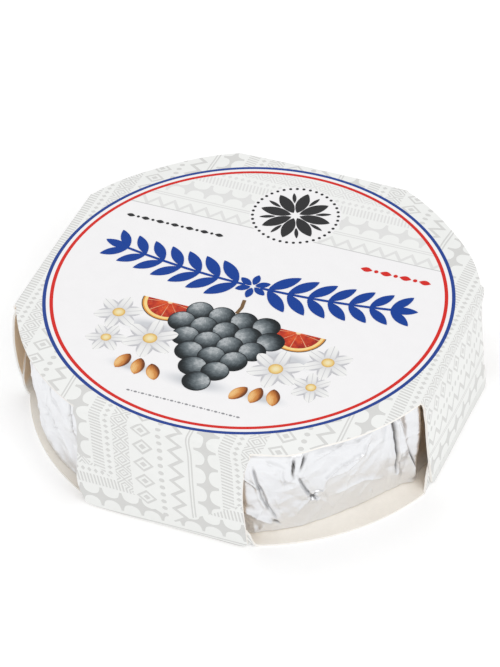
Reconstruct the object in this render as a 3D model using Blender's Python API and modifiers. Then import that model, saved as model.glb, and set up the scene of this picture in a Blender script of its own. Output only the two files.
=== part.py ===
"""A small foil-wrapped soft cheese in a folded board wrap.

The wrap is one blank of thin board. Its round top panel carries four walls that fold down over four
flaps of the round base panel, and each wall is glued to its flap. Between the walls the foil-wrapped
cheese shows in four windows.
Metres, +Z up. The origin is under the middle of the pack, at the level it stands on.
The walls are on the X and Y axes and the windows are on the diagonals. The print reads with +Y up.
"""

import math

import bmesh
import bpy

MM = 0.001

# Board wrap
PANEL_RADIUS = 45.0 * MM
PACK_HEIGHT = 23.5 * MM
BOARD = 0.45 * MM
FOLDS = (
    # azimuth of a fold's middle and half of the angle that it takes, in degrees
    (0.0, 23.6),
    (90.0, 24.0),
    (180.0, 24.0),
    (268.5, 23.2),
)
ARC_STEPS = 14
WALL_COLUMNS = 8

# Walls, measured on the outer face
FOLD_DROP = 1.2 * MM
FOLD_LIP = 0.75 * MM
WALL_LIFT = 0.25 * MM
WALL_CORNER = 0.6 * MM
FOLD_STEPS = 5
WALL_STEPS = 9
WALLS = (
    # Rows from the fold down, in millimetres: depth under the top, then the distance out and the half
    # width at the clockwise edge, and both again at the other edge
    (
        (3.0, 41.8, 17.4, 41.8, 17.5),
        (6.0, 41.9, 17.0, 41.9, 16.8),
        (12.0, 42.0, 16.6, 42.3, 16.0),
        (18.0, 42.0, 15.9, 42.6, 15.5),
        (23.25, 42.0, 15.3, 42.8, 15.3),
    ),
    (
        (3.0, 42.0, 17.1, 42.0, 17.1),
        (6.0, 42.2, 16.5, 42.2, 16.5),
        (12.0, 42.6, 16.1, 42.6, 16.1),
        (18.0, 42.8, 16.3, 42.8, 16.3),
        (23.25, 42.9, 16.6, 42.9, 16.6),
    ),
    (
        (3.0, 42.1, 17.2, 42.4, 17.4),
        (6.0, 42.5, 16.7, 43.1, 17.1),
        (12.0, 43.0, 16.3, 43.9, 17.0),
        (18.0, 43.1, 16.4, 43.9, 16.9),
        (23.25, 43.0, 16.4, 42.8, 16.6),
    ),
    (
        (3.0, 42.0, 17.4, 41.9, 17.0),
        (6.0, 42.2, 17.4, 42.1, 16.2),
        (12.0, 42.7, 17.8, 42.6, 15.8),
        (18.0, 43.1, 18.4, 42.9, 16.1),
        (23.25, 43.3, 17.0, 42.8, 16.1),
    ),
)

# Flaps of the base, glued inside the walls
FLAP_HEIGHT = 9.5 * MM
FLAP_LEAN_OUT = 3.2 * MM
FLAP_END_HALF = 14.6 * MM
FLAP_STEPS = 6
GLUE_OVERLAP = 0.2 * MM

# Foil-wrapped cheese
GAP = 0.3 * MM
CHEESE_RADIUS = 40.3 * MM
SWELLS = (
    # azimuth of a window's middle in degrees, and how far the foil swells out of it at its head and foot
    (45.0, 1.5 * MM, 0.9 * MM),
    (135.0, 2.0 * MM, 1.2 * MM),
    (219.0, 3.6 * MM, 2.5 * MM),
    (309.0, 2.9 * MM, 1.2 * MM),
)
SWELL_HALF_ANGLE = math.radians(21.0)
SHOULDER_RADIUS = 2.6 * MM
FOOT_RADIUS = 0.7 * MM
SIDE_ROWS = 11
CORNER_STEPS = 4
AROUND = 144
CREASES = (
    # direction across the side in degrees, wave length, depth, phase
    (8.0, 11.0 * MM, 0.26 * MM, 0.10),
    (38.0, 17.0 * MM, 0.32 * MM, 0.45),
    (-33.0, 14.0 * MM, 0.30 * MM, 0.70),
    (71.0, 9.0 * MM, 0.14 * MM, 0.25),
)
PLEATS = (
    # azimuth in degrees, height of the ridge, half width on the side
    (-58.0, 0.5 * MM, 1.3 * MM),
    (-31.0, 0.6 * MM, 1.2 * MM),
    (-141.0, 0.5 * MM, 1.4 * MM),
    (128.0, 0.6 * MM, 1.3 * MM),
    (33.0, 0.6 * MM, 1.3 * MM),
    (58.0, 0.5 * MM, 1.2 * MM),
)

# The stack has settled sideways: the top stands this far towards -X of the base
SIDE_LEAN = 1.2 * MM


def clear_scene():
    for item in list(bpy.data.objects):
        bpy.data.objects.remove(item, do_unlink=True)


def new_collection(name):
    group = bpy.data.collections.new(name)
    bpy.context.scene.collection.children.link(group)
    return group


def principled(name, colour, roughness, metallic):
    material = bpy.data.materials.new(name)
    material.use_nodes = True
    shader = material.node_tree.nodes["Principled BSDF"]
    shader.inputs["Base Color"].default_value = (*colour, 1.0)
    shader.inputs["Roughness"].default_value = roughness
    shader.inputs["Metallic"].default_value = metallic
    return material


def add_object(bm, name, group, material):
    """Turn a bmesh into a named object of the group."""
    bmesh.ops.recalc_face_normals(bm, faces=bm.faces)
    mesh = bpy.data.meshes.new(name)
    bm.to_mesh(mesh)
    bm.free()
    item = bpy.data.objects.new(name, mesh)
    item.data.materials.append(material)
    group.objects.link(item)
    return item


def lean(bm):
    """Shift every level sideways, the base towards +X and the top towards -X."""
    for vert in bm.verts:
        vert.co.x += SIDE_LEAN * (0.5 - vert.co.z / PACK_HEIGHT)


def fold_sizes(quarter):
    """Azimuth, half angle, distance from the middle and half length of a fold."""
    turn, half_angle = (math.radians(value) for value in FOLDS[quarter])
    return turn, half_angle, PANEL_RADIUS * math.cos(half_angle), PANEL_RADIUS * math.sin(half_angle)


def panel_outline():
    """Points of a round panel cut by four folds, and the number of the fold that a point is on."""
    points = []
    for quarter in range(4):
        turn, half_angle, out, half_chord = fold_sizes(quarter)
        for column in range(WALL_COLUMNS + 1):
            across = half_chord * (2 * column / WALL_COLUMNS - 1)
            x = out * math.cos(turn) - across * math.sin(turn)
            y = out * math.sin(turn) + across * math.cos(turn)
            points.append((x, y, quarter))
        after_turn, after_half_angle, _, _ = fold_sizes((quarter + 1) % 4)
        start = turn + half_angle
        span = (after_turn - after_half_angle - start) % (2 * math.pi)
        for step in range(1, ARC_STEPS):
            angle = start + span * step / ARC_STEPS
            x = PANEL_RADIUS * math.cos(angle)
            y = PANEL_RADIUS * math.sin(angle)
            points.append((x, y, None))
    return points


def round_panel(bm, height):
    """Add the flat panel, and return the vertices along each of its four folds."""
    folds = [[], [], [], []]
    ring = []
    for x, y, quarter in panel_outline():
        vert = bm.verts.new((x, y, height))
        ring.append(vert)
        if quarter is not None:
            folds[quarter].append(vert)
    bm.faces.new(ring)
    return folds


def fold_out(bm, fold, quarter, rows):
    """Extrude a panel's fold row by row. A row gives the distance out, height and half width by column."""
    turn = fold_sizes(quarter)[0]
    edge_verts = fold
    for row in rows:
        edges = [bm.edges.get(pair) for pair in zip(edge_verts, edge_verts[1:])]
        made = bmesh.ops.extrude_edge_only(bm, edges=edges)["geom"]
        fresh = [item for item in made if isinstance(item, bmesh.types.BMVert)]
        ordered = []
        for old in edge_verts:
            ordered.append(min(fresh, key=lambda vert: (vert.co - old.co).length))
        for column, vert in enumerate(ordered):
            side = 2 * column / WALL_COLUMNS - 1
            out, height, half = row(side)
            across = half * side
            vert.co.x = out * math.cos(turn) - across * math.sin(turn)
            vert.co.y = out * math.sin(turn) + across * math.cos(turn)
            vert.co.z = height
        edge_verts = ordered


def between(rows, depth):
    """Values of a table of rows at a depth, straight between its rows."""
    if depth <= rows[0][0]:
        return rows[0][1:]
    for before, after in zip(rows, rows[1:]):
        if depth <= after[0]:
            part = (depth - before[0]) / (after[0] - before[0])
            return [a + (b - a) * part for a, b in zip(before[1:], after[1:])]
    return rows[-1][1:]


def wall_place(quarter, height, side):
    """Distance out and half width of a wall's outer face at a height, for a place across from -1 to 1."""
    _, _, fold_out_by, half_chord = fold_sizes(quarter)
    head = (FOLD_DROP / MM, *((fold_out_by + FOLD_LIP) / MM, half_chord / MM) * 2)
    depth = (PACK_HEIGHT - height) / MM
    out_from, half_from, out_to, half_to = between((head, *WALLS[quarter]), depth)
    out = out_from + (out_to - out_from) * (side + 1) / 2
    return out * MM, (half_from if side < 0 else half_to) * MM


def wall_rows(quarter):
    """Rows of a wall, over the rounded fold and down to its free lower edge."""
    _, _, start, half_chord = fold_sizes(quarter)
    rows = []
    for step in range(1, FOLD_STEPS + 1):
        angle = math.pi / 2 * step / FOLD_STEPS
        out = start + FOLD_LIP * math.sin(angle)
        height = PACK_HEIGHT - FOLD_DROP * (1 - math.cos(angle))
        rows.append(lambda side, out=out, height=height: (out, height, half_chord))
    for step in range(1, WALL_STEPS + 1):
        part = step / WALL_STEPS
        rows.append(lambda side, part=part: wall_point(quarter, side, part))
    return rows


def wall_point(quarter, side, part):
    """A point of a wall, whose lower corners are rounded off."""
    top = PACK_HEIGHT - FOLD_DROP
    corner = max(0.0, abs(side) - 0.75) / 0.25
    foot = WALL_LIFT + WALL_CORNER * corner**3
    height = top + (foot - top) * part
    out, half = wall_place(quarter, height, side)
    return out, height, half


def flap_rows(quarter):
    """Rows of a glue flap, out from the base's fold and up inside the wall to its rounded end."""
    _, _, start, half_chord = fold_sizes(quarter)
    rows = []
    rows.append(lambda side: (start + 0.5 * MM, 0.2 * MM, half_chord))
    rows.append(lambda side: (start + 0.8 * MM, 0.8 * MM, half_chord))
    for step in range(FLAP_STEPS):
        part = step / (FLAP_STEPS - 1)
        rows.append(lambda side, part=part: flap_point(quarter, side, half_chord, part))
    return rows


def flap_point(quarter, side, half_chord, part):
    """A point of a glue flap where it lies against the inside of its wall."""
    end = FLAP_LEAN_OUT + (FLAP_HEIGHT - FLAP_LEAN_OUT) * math.sqrt(1 - 0.75 * side**4)
    height = FLAP_LEAN_OUT + (end - FLAP_LEAN_OUT) * part
    half = half_chord + (FLAP_END_HALF - half_chord) * (0.2 + 0.8 * part)
    return wall_place(quarter, height, side)[0] - BOARD + GLUE_OVERLAP, height, half


def board_sheet(name, height, rows, group, material):
    """A panel with its four folded parts, as a sheet that Solidify thickens inwards. Rows are by fold."""
    bm = bmesh.new()
    for quarter, fold in enumerate(round_panel(bm, height)):
        fold_out(bm, fold, quarter, rows(quarter))
    lean(bm)
    sheet = add_object(bm, name, group, material)
    centre = min(sheet.data.polygons, key=lambda face: face.center.xy.length)
    outward = 1.0 if height > 0 else -1.0
    if centre.normal.z * outward < 0:
        sheet.data.flip_normals()
    thick = sheet.modifiers.new("board", "SOLIDIFY")
    thick.thickness = BOARD
    thick.offset = -1.0
    thick.use_even_offset = True
    return sheet


def make_wrap(group, cutters, material):
    """Top panel with walls, joined to the base panel with its flaps."""
    wrap = board_sheet("board_wrap", PACK_HEIGHT, wall_rows, group, material)
    base = board_sheet("base_and_flaps", 0.0, flap_rows, cutters, material)
    base.hide_render = True
    base.display_type = "WIRE"
    glue = wrap.modifiers.new("glued flaps", "BOOLEAN")
    glue.operation = "UNION"
    glue.solver = "MANIFOLD"
    glue.object = base
    return wrap


def fold_wave(value):
    """A straight-sided wave between -1 and 1, which gives sharp creases."""
    return 4 * abs(value - math.floor(value + 0.5)) - 1


def crumple(azimuth, height):
    """How far creases lift the foil out of its smooth side at a place."""
    along = azimuth * CHEESE_RADIUS
    out = 0.0
    for angle, length, depth, phase in CREASES:
        turn = math.radians(angle)
        count = max(1, round(2 * math.pi * CHEESE_RADIUS * math.cos(turn) / length))
        wave = azimuth / (2 * math.pi) * count + height * math.sin(turn) / length + phase
        out += depth * fold_wave(wave)
    for place, ridge, half in PLEATS:
        away = math.remainder(azimuth - math.radians(place), 2 * math.pi) * CHEESE_RADIUS
        away += 0.15 * (height - PACK_HEIGHT / 2)
        out += ridge * max(0.0, 1 - abs(away) / half)
    return out


def swell(azimuth, part):
    """How far the foil swells into a window at an azimuth and a part of its height, 0 behind a wall."""
    out = 0.0
    for middle, head, foot in SWELLS:
        away = abs(math.remainder(azimuth - math.radians(middle), 2 * math.pi)) / SWELL_HALF_ANGLE
        if away < 1:
            out = (foot + (head - foot) * part) * min(1.0, 2.2 * (1 - away))
    return out


def cheese_profile():
    """Radius and height of the smooth wrapped cheese, from the foot's rim to the top's rim."""
    low = BOARD + GAP
    high = PACK_HEIGHT - BOARD - GAP
    points = []
    for step in range(CORNER_STEPS):
        angle = math.pi / 2 * step / CORNER_STEPS
        radius = CHEESE_RADIUS - FOOT_RADIUS * (1 - math.sin(angle))
        points.append((radius, low + FOOT_RADIUS * (1 - math.cos(angle))))
    bottom = low + FOOT_RADIUS
    top = high - SHOULDER_RADIUS
    for row in range(SIDE_ROWS + 1):
        points.append((CHEESE_RADIUS, bottom + (top - bottom) * row / SIDE_ROWS))
    for step in range(1, CORNER_STEPS + 1):
        angle = math.pi / 2 * step / CORNER_STEPS
        radius = CHEESE_RADIUS - SHOULDER_RADIUS * (1 - math.cos(angle))
        points.append((radius, top + SHOULDER_RADIUS * math.sin(angle)))
    return points


def make_cheese(group, material):
    """The wrapped cheese: a turned profile, creased on its side."""
    bm = bmesh.new()
    profile = [bm.verts.new((radius, 0.0, height)) for radius, height in cheese_profile()]
    edges = [bm.edges.new(pair) for pair in zip(profile, profile[1:])]
    bmesh.ops.spin(
        bm,
        geom=profile + edges,
        axis=(0.0, 0.0, 1.0),
        cent=(0.0, 0.0, 0.0),
        steps=AROUND,
        angle=2 * math.pi,
        use_merge=True,
    )
    low = BOARD + GAP
    high = PACK_HEIGHT - BOARD - GAP
    for vert in bm.verts:
        radius = vert.co.xy.length
        azimuth = math.atan2(vert.co.y, vert.co.x)
        height = vert.co.z
        out = swell(azimuth, (height - low) / (high - low))
        held = min(1.0, (height - low) / (2 * FOOT_RADIUS), (high - height) / SHOULDER_RADIUS)
        out += crumple(azimuth, height) * held * (0.25 + 0.2 * out / MM)
        vert.co.x *= (radius + out) / radius
        vert.co.y *= (radius + out) / radius
    bmesh.ops.holes_fill(bm, edges=bm.edges)
    lean(bm)
    bmesh.ops.triangulate(bm, faces=[face for face in bm.faces if len(face.verts) == 4])
    return add_object(bm, "foil_cheese", group, material)


def main():
    clear_scene()
    parts = new_collection("wrapped_cheese")
    cutters = new_collection("joined_in")
    printed_board = principled("printed_board", (0.86, 0.86, 0.86), 0.5, 0.0)
    foil = principled("foil", (0.83, 0.84, 0.86), 0.25, 1.0)
    make_wrap(parts, cutters, printed_board)
    make_cheese(parts, foil)


main()
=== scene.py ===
"""Looks of a small soft cheese in crumpled foil, held in a printed board wrap.

The wrap's round top panel carries the print, its four walls fold down over the flaps of the base, and
the foil shows in the four windows between the walls. Metres, +Z up, with the print's top towards +Y.
"""

import logging
import math
import random
from dataclasses import dataclass, field
from enum import Enum
from typing import Callable, ClassVar, Sequence

import bpy
from mathutils import Matrix, Vector, noise
from mathutils.bvhtree import BVHTree
from mathutils.geometry import delaunay_2d_cdt


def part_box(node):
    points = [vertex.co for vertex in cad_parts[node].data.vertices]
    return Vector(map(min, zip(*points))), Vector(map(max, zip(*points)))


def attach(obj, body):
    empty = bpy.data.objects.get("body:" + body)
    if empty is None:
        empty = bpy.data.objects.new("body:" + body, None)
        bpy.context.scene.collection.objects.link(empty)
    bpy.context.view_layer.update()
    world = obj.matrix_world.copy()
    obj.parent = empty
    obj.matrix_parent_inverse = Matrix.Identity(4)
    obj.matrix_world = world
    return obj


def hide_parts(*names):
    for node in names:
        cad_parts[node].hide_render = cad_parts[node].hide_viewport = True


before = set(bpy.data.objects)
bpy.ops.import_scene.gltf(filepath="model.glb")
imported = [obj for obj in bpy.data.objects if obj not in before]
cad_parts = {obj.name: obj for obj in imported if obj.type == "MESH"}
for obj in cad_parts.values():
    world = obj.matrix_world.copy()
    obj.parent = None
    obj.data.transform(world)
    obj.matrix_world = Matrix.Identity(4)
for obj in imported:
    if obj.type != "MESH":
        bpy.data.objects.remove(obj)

MM = 0.001
UV_PER_METRE = 10.0
MM_PER_DEGREE = 0.72
LOG = logging.getLogger("wrapped_cheese")

Point = tuple[float, float]
Colour = tuple[float, float, float]
Socket = bpy.types.NodeSocket
Ends = dict[str, bpy.types.NodeSocket]


def srgb(red: int, green: int, blue: int) -> Colour:
    """Turn a screen colour into the linear one that shaders use.

    Args:
        red: Red, 0 to 255.
        green: Green, 0 to 255.
        blue: Blue, 0 to 255.

    Returns:
        The linear colour.
    """
    values = []
    for value in (red, green, blue):
        part = value / 255
        values.append(part / 12.92 if part <= 0.04045 else ((part + 0.055) / 1.055) ** 2.4)
    return values[0], values[1], values[2]


def smooth(low: float, high: float, value: float) -> float:
    """Rise smoothly from 0 at low to 1 at high.

    Args:
        low: Where the rise starts.
        high: Where the rise ends.
        value: The place to read.

    Returns:
        A number from 0 to 1.
    """
    part = min(1.0, max(0.0, (value - low) / (high - low)))
    return part * part * (3 - 2 * part)


@dataclass(frozen=True)
class Fold:
    """One straight fold across the edge of a round panel."""

    azimuth: float
    half_degrees: float
    radius: float

    @property
    def turn(self) -> float:
        """Azimuth in radians."""
        return math.radians(self.azimuth)

    @property
    def half_angle(self) -> float:
        """Half of the angle that the fold takes of the circle."""
        return math.radians(self.half_degrees)

    @property
    def out(self) -> float:
        """Distance from the panel's middle."""
        return self.radius * math.cos(self.half_angle)

    @property
    def half(self) -> float:
        """Half of the fold's length."""
        return self.radius * math.sin(self.half_angle)

    def away(self, azimuth: float) -> float:
        """Signed angle from the fold's middle."""
        return math.remainder(azimuth - self.turn, 2 * math.pi)

    def place(self, out: float, across: float) -> Point:
        """Turn a distance out and a place across into x and y."""
        cos, sin = math.cos(self.turn), math.sin(self.turn)
        return out * cos - across * sin, out * sin + across * cos


@dataclass(frozen=True)
class Dip:
    """A place where the top panel's rim has been pressed down."""

    azimuth: float
    half_degrees: float
    depth: float

    def drop(self, azimuth: float) -> float:
        """How far the rim is down at an azimuth in radians."""
        away = abs(math.degrees(math.remainder(azimuth - math.radians(self.azimuth), 2 * math.pi)))
        return self.depth * (1 - smooth(0.0, self.half_degrees, away))


@dataclass(frozen=True)
class PackSizes:
    """The driving sizes that the wrap and the foil share."""

    radius: float = 45.0 * MM
    height: float = 23.5 * MM
    board: float = 0.45 * MM
    lean: float = 1.2 * MM
    fold_places: tuple[Point, ...] = ((0.0, 23.6), (90.0, 24.0), (180.0, 24.0), (268.5, 23.2))
    crown_from: float = 39.6 * MM
    droop: float = 0.25 * MM
    dips: tuple[Dip, ...] = (
        Dip(-59.0, 9.0, 0.9 * MM),
        Dip(-38.0, 16.0, 0.2 * MM),
        Dip(-140.0, 20.0, 0.35 * MM),
        Dip(47.0, 22.0, 1.1 * MM),
        Dip(133.0, 20.0, 0.5 * MM),
    )

    @classmethod
    def from_frame(cls) -> "PackSizes":
        """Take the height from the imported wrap."""
        low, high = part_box("board_wrap")
        return cls(height=high.z - low.z)

    @property
    def folds(self) -> tuple[Fold, ...]:
        """The four folds, from the one at +X counter-clockwise."""
        return tuple(Fold(azimuth, half, self.radius) for azimuth, half in self.fold_places)

    def shift(self, height: float) -> float:
        """How far a level stands towards +X, as the stack has settled sideways."""
        return self.lean * (0.5 - height / self.height)

    def edge_distance(self, azimuth: float) -> float:
        """Distance of a panel's edge at an azimuth: a fold or the round edge."""
        for fold in self.folds:
            away = fold.away(azimuth)
            if abs(away) < fold.half_angle + 1e-6:
                return fold.out / math.cos(away)
        return self.radius

    def crown(self, x: float, y: float) -> float:
        """Height of the top panel's upper face: flat inside the rings, and lower towards its rim."""
        azimuth = math.atan2(y, x)
        part = smooth(self.crown_from, self.radius + 1.0 * MM, math.hypot(x, y))
        if not part:
            return self.height
        uneven = 1.0 + 0.5 * noise.noise(Vector((x * 60, y * 60, 3.1)))
        down = self.droop * uneven + sum(dip.drop(azimuth) for dip in self.dips)
        return self.height - part * down


# Modelling


class Bench:
    """Modelling by operators, with everything else left alone."""

    @staticmethod
    def clear() -> None:
        """Leave edit mode and deselect everything."""
        if bpy.context.object and bpy.context.object.mode != "OBJECT":
            bpy.ops.object.mode_set(mode="OBJECT")
        bpy.ops.object.select_all(action="DESELECT")

    @staticmethod
    def take(piece: bpy.types.Object) -> None:
        """Select one object alone and make it active."""
        Bench.clear()
        piece.select_set(True)
        bpy.context.view_layer.objects.active = piece

    @staticmethod
    def grid(name: str, columns: int, rows: int) -> bpy.types.Object:
        """Add a flat grid from (0, 0) to (1, 1), to be shaped.

        Args:
            name: The object's name.
            columns: Cells across.
            rows: Cells along.

        Returns:
            The new object.
        """
        Bench.clear()
        bpy.ops.mesh.primitive_grid_add(x_subdivisions=columns, y_subdivisions=rows, size=1.0)
        piece = bpy.context.object
        piece.name = name
        piece.data.transform(Matrix.Translation((0.5, 0.5, 0.0)))
        return piece

    @staticmethod
    def shape(
        piece: bpy.types.Object,
        place: Callable[[Vector], Vector],
        flat: Callable[[Vector], Point],
    ) -> None:
        """Move each vertex, and write where it was in the flat into the UV map.

        Args:
            piece: The object to shape.
            place: Gives the new place of a vertex from its old one.
            flat: Gives the UV of a vertex from its old place.
        """
        mesh = piece.data
        Bench.write_flat(mesh, [flat(vert.co) for vert in mesh.vertices])
        for vert in mesh.vertices:
            vert.co = place(vert.co)
        mesh.update()

    @staticmethod
    def write_flat(mesh: bpy.types.Mesh, flats: Sequence[Point]) -> None:
        """Write each vertex's place in the flat into the UV map."""
        layer = mesh.uv_layers.active or mesh.uv_layers.new(name="flat")
        layer.name = "flat"
        for loop in mesh.loops:
            layer.data[loop.index].uv = flats[loop.vertex_index]

    @staticmethod
    def face_out(piece: bpy.types.Object, outward: Callable[[Vector], Vector]) -> None:
        """Flip an open sheet if its faces look inwards.

        Args:
            piece: The sheet.
            outward: Gives the outward direction at a place.
        """
        total = sum(face.normal.dot(outward(face.center)) * face.area for face in piece.data.polygons)
        if total < 0:
            piece.data.flip_normals()

    @staticmethod
    def join(pieces: Sequence[bpy.types.Object], name: str, merge: float = 0.0) -> bpy.types.Object:
        """Join objects into one, and merge the vertices that meet.

        Args:
            pieces: The objects. The first one stays.
            name: The name of the result.
            merge: Distance under which vertices merge, or 0 to leave them.

        Returns:
            The joined object.
        """
        Bench.take(pieces[0])
        for piece in pieces:
            piece.select_set(True)
        if len(pieces) > 1:
            bpy.ops.object.join()
        joined = bpy.context.object
        joined.name = joined.data.name = name
        if merge:
            bpy.ops.object.mode_set(mode="EDIT")
            bpy.ops.mesh.select_all(action="SELECT")
            bpy.ops.mesh.remove_doubles(threshold=merge)
            bpy.ops.object.mode_set(mode="OBJECT")
        return joined

    @staticmethod
    def apply(piece: bpy.types.Object, kind: str, **settings: object) -> None:
        """Add a modifier with its settings and apply it.

        Args:
            piece: The object to change.
            kind: The modifier's type.
            **settings: Its properties.
        """
        Bench.take(piece)
        modifier = piece.modifiers.new(kind.lower(), kind)
        for key, value in settings.items():
            setattr(modifier, key, value)
        bpy.ops.object.modifier_apply(modifier=modifier.name)

    @staticmethod
    def smooth(piece: bpy.types.Object, degrees: float) -> None:
        """Shade smooth, with edges sharper than an angle left sharp."""
        Bench.take(piece)
        bpy.ops.object.shade_smooth_by_angle(angle=math.radians(degrees), keep_sharp_edges=False)


# Shader building


class Nodes:
    """Short calls for building one node tree."""

    def __init__(self, tree: bpy.types.NodeTree) -> None:
        """Work on a tree."""
        self.tree = tree

    def add(self, kind: str, **settings: object) -> bpy.types.Node:
        """Add a node.

        Args:
            kind: The node's type, without its ShaderNode prefix.
            **settings: Its properties.

        Returns:
            The node.
        """
        node = self.tree.nodes.new("ShaderNode" + kind)
        for key, value in settings.items():
            setattr(node, key, value)
        return node

    def put(self, target: Socket, source: object) -> None:
        """Link a socket into another, or set the other's own value."""
        if isinstance(source, bpy.types.NodeSocket):
            self.tree.links.new(source, target)
        elif isinstance(source, (tuple, list)) and target.type == "RGBA":
            target.default_value = (*source[:3], 1.0)
        else:
            target.default_value = source

    def math(self, operation: str, *values: object, clamp: bool = False) -> Socket:
        """Work out a number from sockets and numbers."""
        node = self.add("Math", operation=operation, use_clamp=clamp)
        for index, value in enumerate(values):
            self.put(node.inputs[index], value)
        return node.outputs[0]

    def vector(self, operation: str, *values: object) -> Socket:
        """Work out a vector, or the number that DOT_PRODUCT and LENGTH give."""
        node = self.add("VectorMath", operation=operation)
        for index, value in enumerate(values):
            self.put(node.inputs[index], value)
        return node.outputs["Value" if operation in ("DOT_PRODUCT", "LENGTH") else "Vector"]

    def split(self, place: Socket) -> tuple[Socket, ...]:
        """Take a vector apart into x, y and z."""
        node = self.add("SeparateXYZ")
        self.put(node.inputs[0], place)
        return tuple(node.outputs)

    def join(self, *parts: Socket) -> Socket:
        """Make a vector of two or three numbers."""
        node = self.add("CombineXYZ")
        for index, part in enumerate(parts):
            self.put(node.inputs[index], part)
        return node.outputs[0]

    def band(self, value: Socket, low: float, high: float, soft: float = 0.0) -> Socket:
        """Mask that is 1 between two values.

        Args:
            value: The number to test.
            low: The lower limit.
            high: The upper limit.
            soft: Width of the soft edge, or 0 for a hard one.

        Returns:
            The mask.
        """
        middle, half = (low + high) / 2, (high - low) / 2
        away = self.math("ABSOLUTE", self.math("SUBTRACT", value, middle))
        if not soft:
            return self.math("LESS_THAN", away, half)
        ease = self.add("MapRange", interpolation_type="SMOOTHSTEP")
        for name, number in (
            ("From Min", half + soft / 2),
            ("From Max", half - soft / 2),
            ("To Min", 0.0),
            ("To Max", 1.0),
        ):
            ease.inputs[name].default_value = number
        self.put(ease.inputs["Value"], away)
        return ease.outputs["Result"]

    def mix(self, factor: object, first: object, second: object, blend: str = "MIX") -> Socket:
        """Mix two colours by a factor."""
        node = self.add("Mix", data_type="RGBA", blend_type=blend)
        self.put(node.inputs[0], factor)
        self.put(node.inputs[6], first)
        self.put(node.inputs[7], second)
        return node.outputs[2]

    def ramp(self, value: Socket, stops: Sequence[tuple[float, Colour]], steps: bool = False) -> Socket:
        """Turn a number into a colour.

        Args:
            value: The number.
            stops: Places and colours, in order.
            steps: Whether the colours change in steps.

        Returns:
            The colour.
        """
        node = self.add("ValToRGB")
        ramp = node.color_ramp
        ramp.interpolation = "CONSTANT" if steps else "LINEAR"
        while len(ramp.elements) < len(stops):
            ramp.elements.new(1.0)
        for element, (place, _) in zip(ramp.elements, stops):
            element.position = place
        for element, (_, colour) in zip(ramp.elements, stops):
            element.color = (*colour, 1.0)
        self.put(node.inputs[0], value)
        return node.outputs["Color"]

    def shaded(self, colour: object, shade: Socket) -> Socket:
        """Multiply a colour by a number."""
        tint = self.add("CombineColor")
        for index in range(3):
            self.put(tint.inputs[index], shade)
        return self.mix(1.0, colour, tint.outputs[0], "MULTIPLY")

    def noise(self, place: Socket, scale: float, detail: float = 2.0, rough: float = 0.5) -> Socket:
        """Read a noise between 0 and 1 at a place."""
        node = self.add("TexNoise")
        self.put(node.inputs["Vector"], place)
        node.inputs["Scale"].default_value = scale
        node.inputs["Detail"].default_value = detail
        node.inputs["Roughness"].default_value = rough
        return node.outputs["Fac"]


class Group:
    """A shader node group with named sockets, made once and kept."""

    made: dict[str, bpy.types.NodeTree] = {}

    @classmethod
    def start(cls, name: str, inputs: dict[str, str], outputs: dict[str, str]) -> tuple[Nodes, Ends, Ends]:
        """Make a group with its sockets.

        Args:
            name: The group's name.
            inputs: Input names and kinds.
            outputs: Output names and kinds.

        Returns:
            The builder for its tree, what comes in, and what goes out.
        """
        tree = bpy.data.node_groups.new(name, "ShaderNodeTree")
        for label, kind in inputs.items():
            tree.interface.new_socket(label, in_out="INPUT", socket_type="NodeSocket" + kind)
        for label, kind in outputs.items():
            tree.interface.new_socket(label, in_out="OUTPUT", socket_type="NodeSocket" + kind)
        cls.made[name] = tree
        inner = tree.nodes.new("NodeGroupInput")
        outer = tree.nodes.new("NodeGroupOutput")
        return Nodes(tree), dict(inner.outputs.items()), dict(outer.inputs.items())

    @classmethod
    def use(cls, nodes: Nodes, name: str, **inputs: object) -> bpy.types.Node:
        """Place a group in a tree and feed its inputs.

        Args:
            nodes: The tree to place it in.
            name: The group's name.
            **inputs: Values and sockets by input name.

        Returns:
            The group's node.
        """
        node = nodes.add("Group", node_tree=cls.made[name])
        for label, source in inputs.items():
            nodes.put(node.inputs[label.replace("_", " ")], source)
        return node


def make_board_grain() -> None:
    """Group for the fine surface of coated board: a height for bump and a shade for colour."""
    nodes, given, result = Group.start(
        "board_grain",
        {"Place": "Vector", "Scale": "Float"},
        {"Height": "Float", "Shade": "Float"},
    )
    place = nodes.vector("SCALE", given["Place"])
    nodes.put(place.node.inputs["Scale"], given["Scale"])
    fibre = nodes.noise(place, 1.0, 4.0, 0.6)
    cloud = nodes.noise(place, 0.06, 2.0)
    nodes.put(result["Height"], nodes.math("MULTIPLY_ADD", cloud, 2.0, fibre))
    speck = nodes.math("MULTIPLY_ADD", nodes.math("SUBTRACT", fibre, 0.5), 0.05, 1.0)
    shade = nodes.math("MULTIPLY_ADD", nodes.math("SUBTRACT", cloud, 0.5), 0.04, speck)
    nodes.put(result["Shade"], shade)


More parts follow.
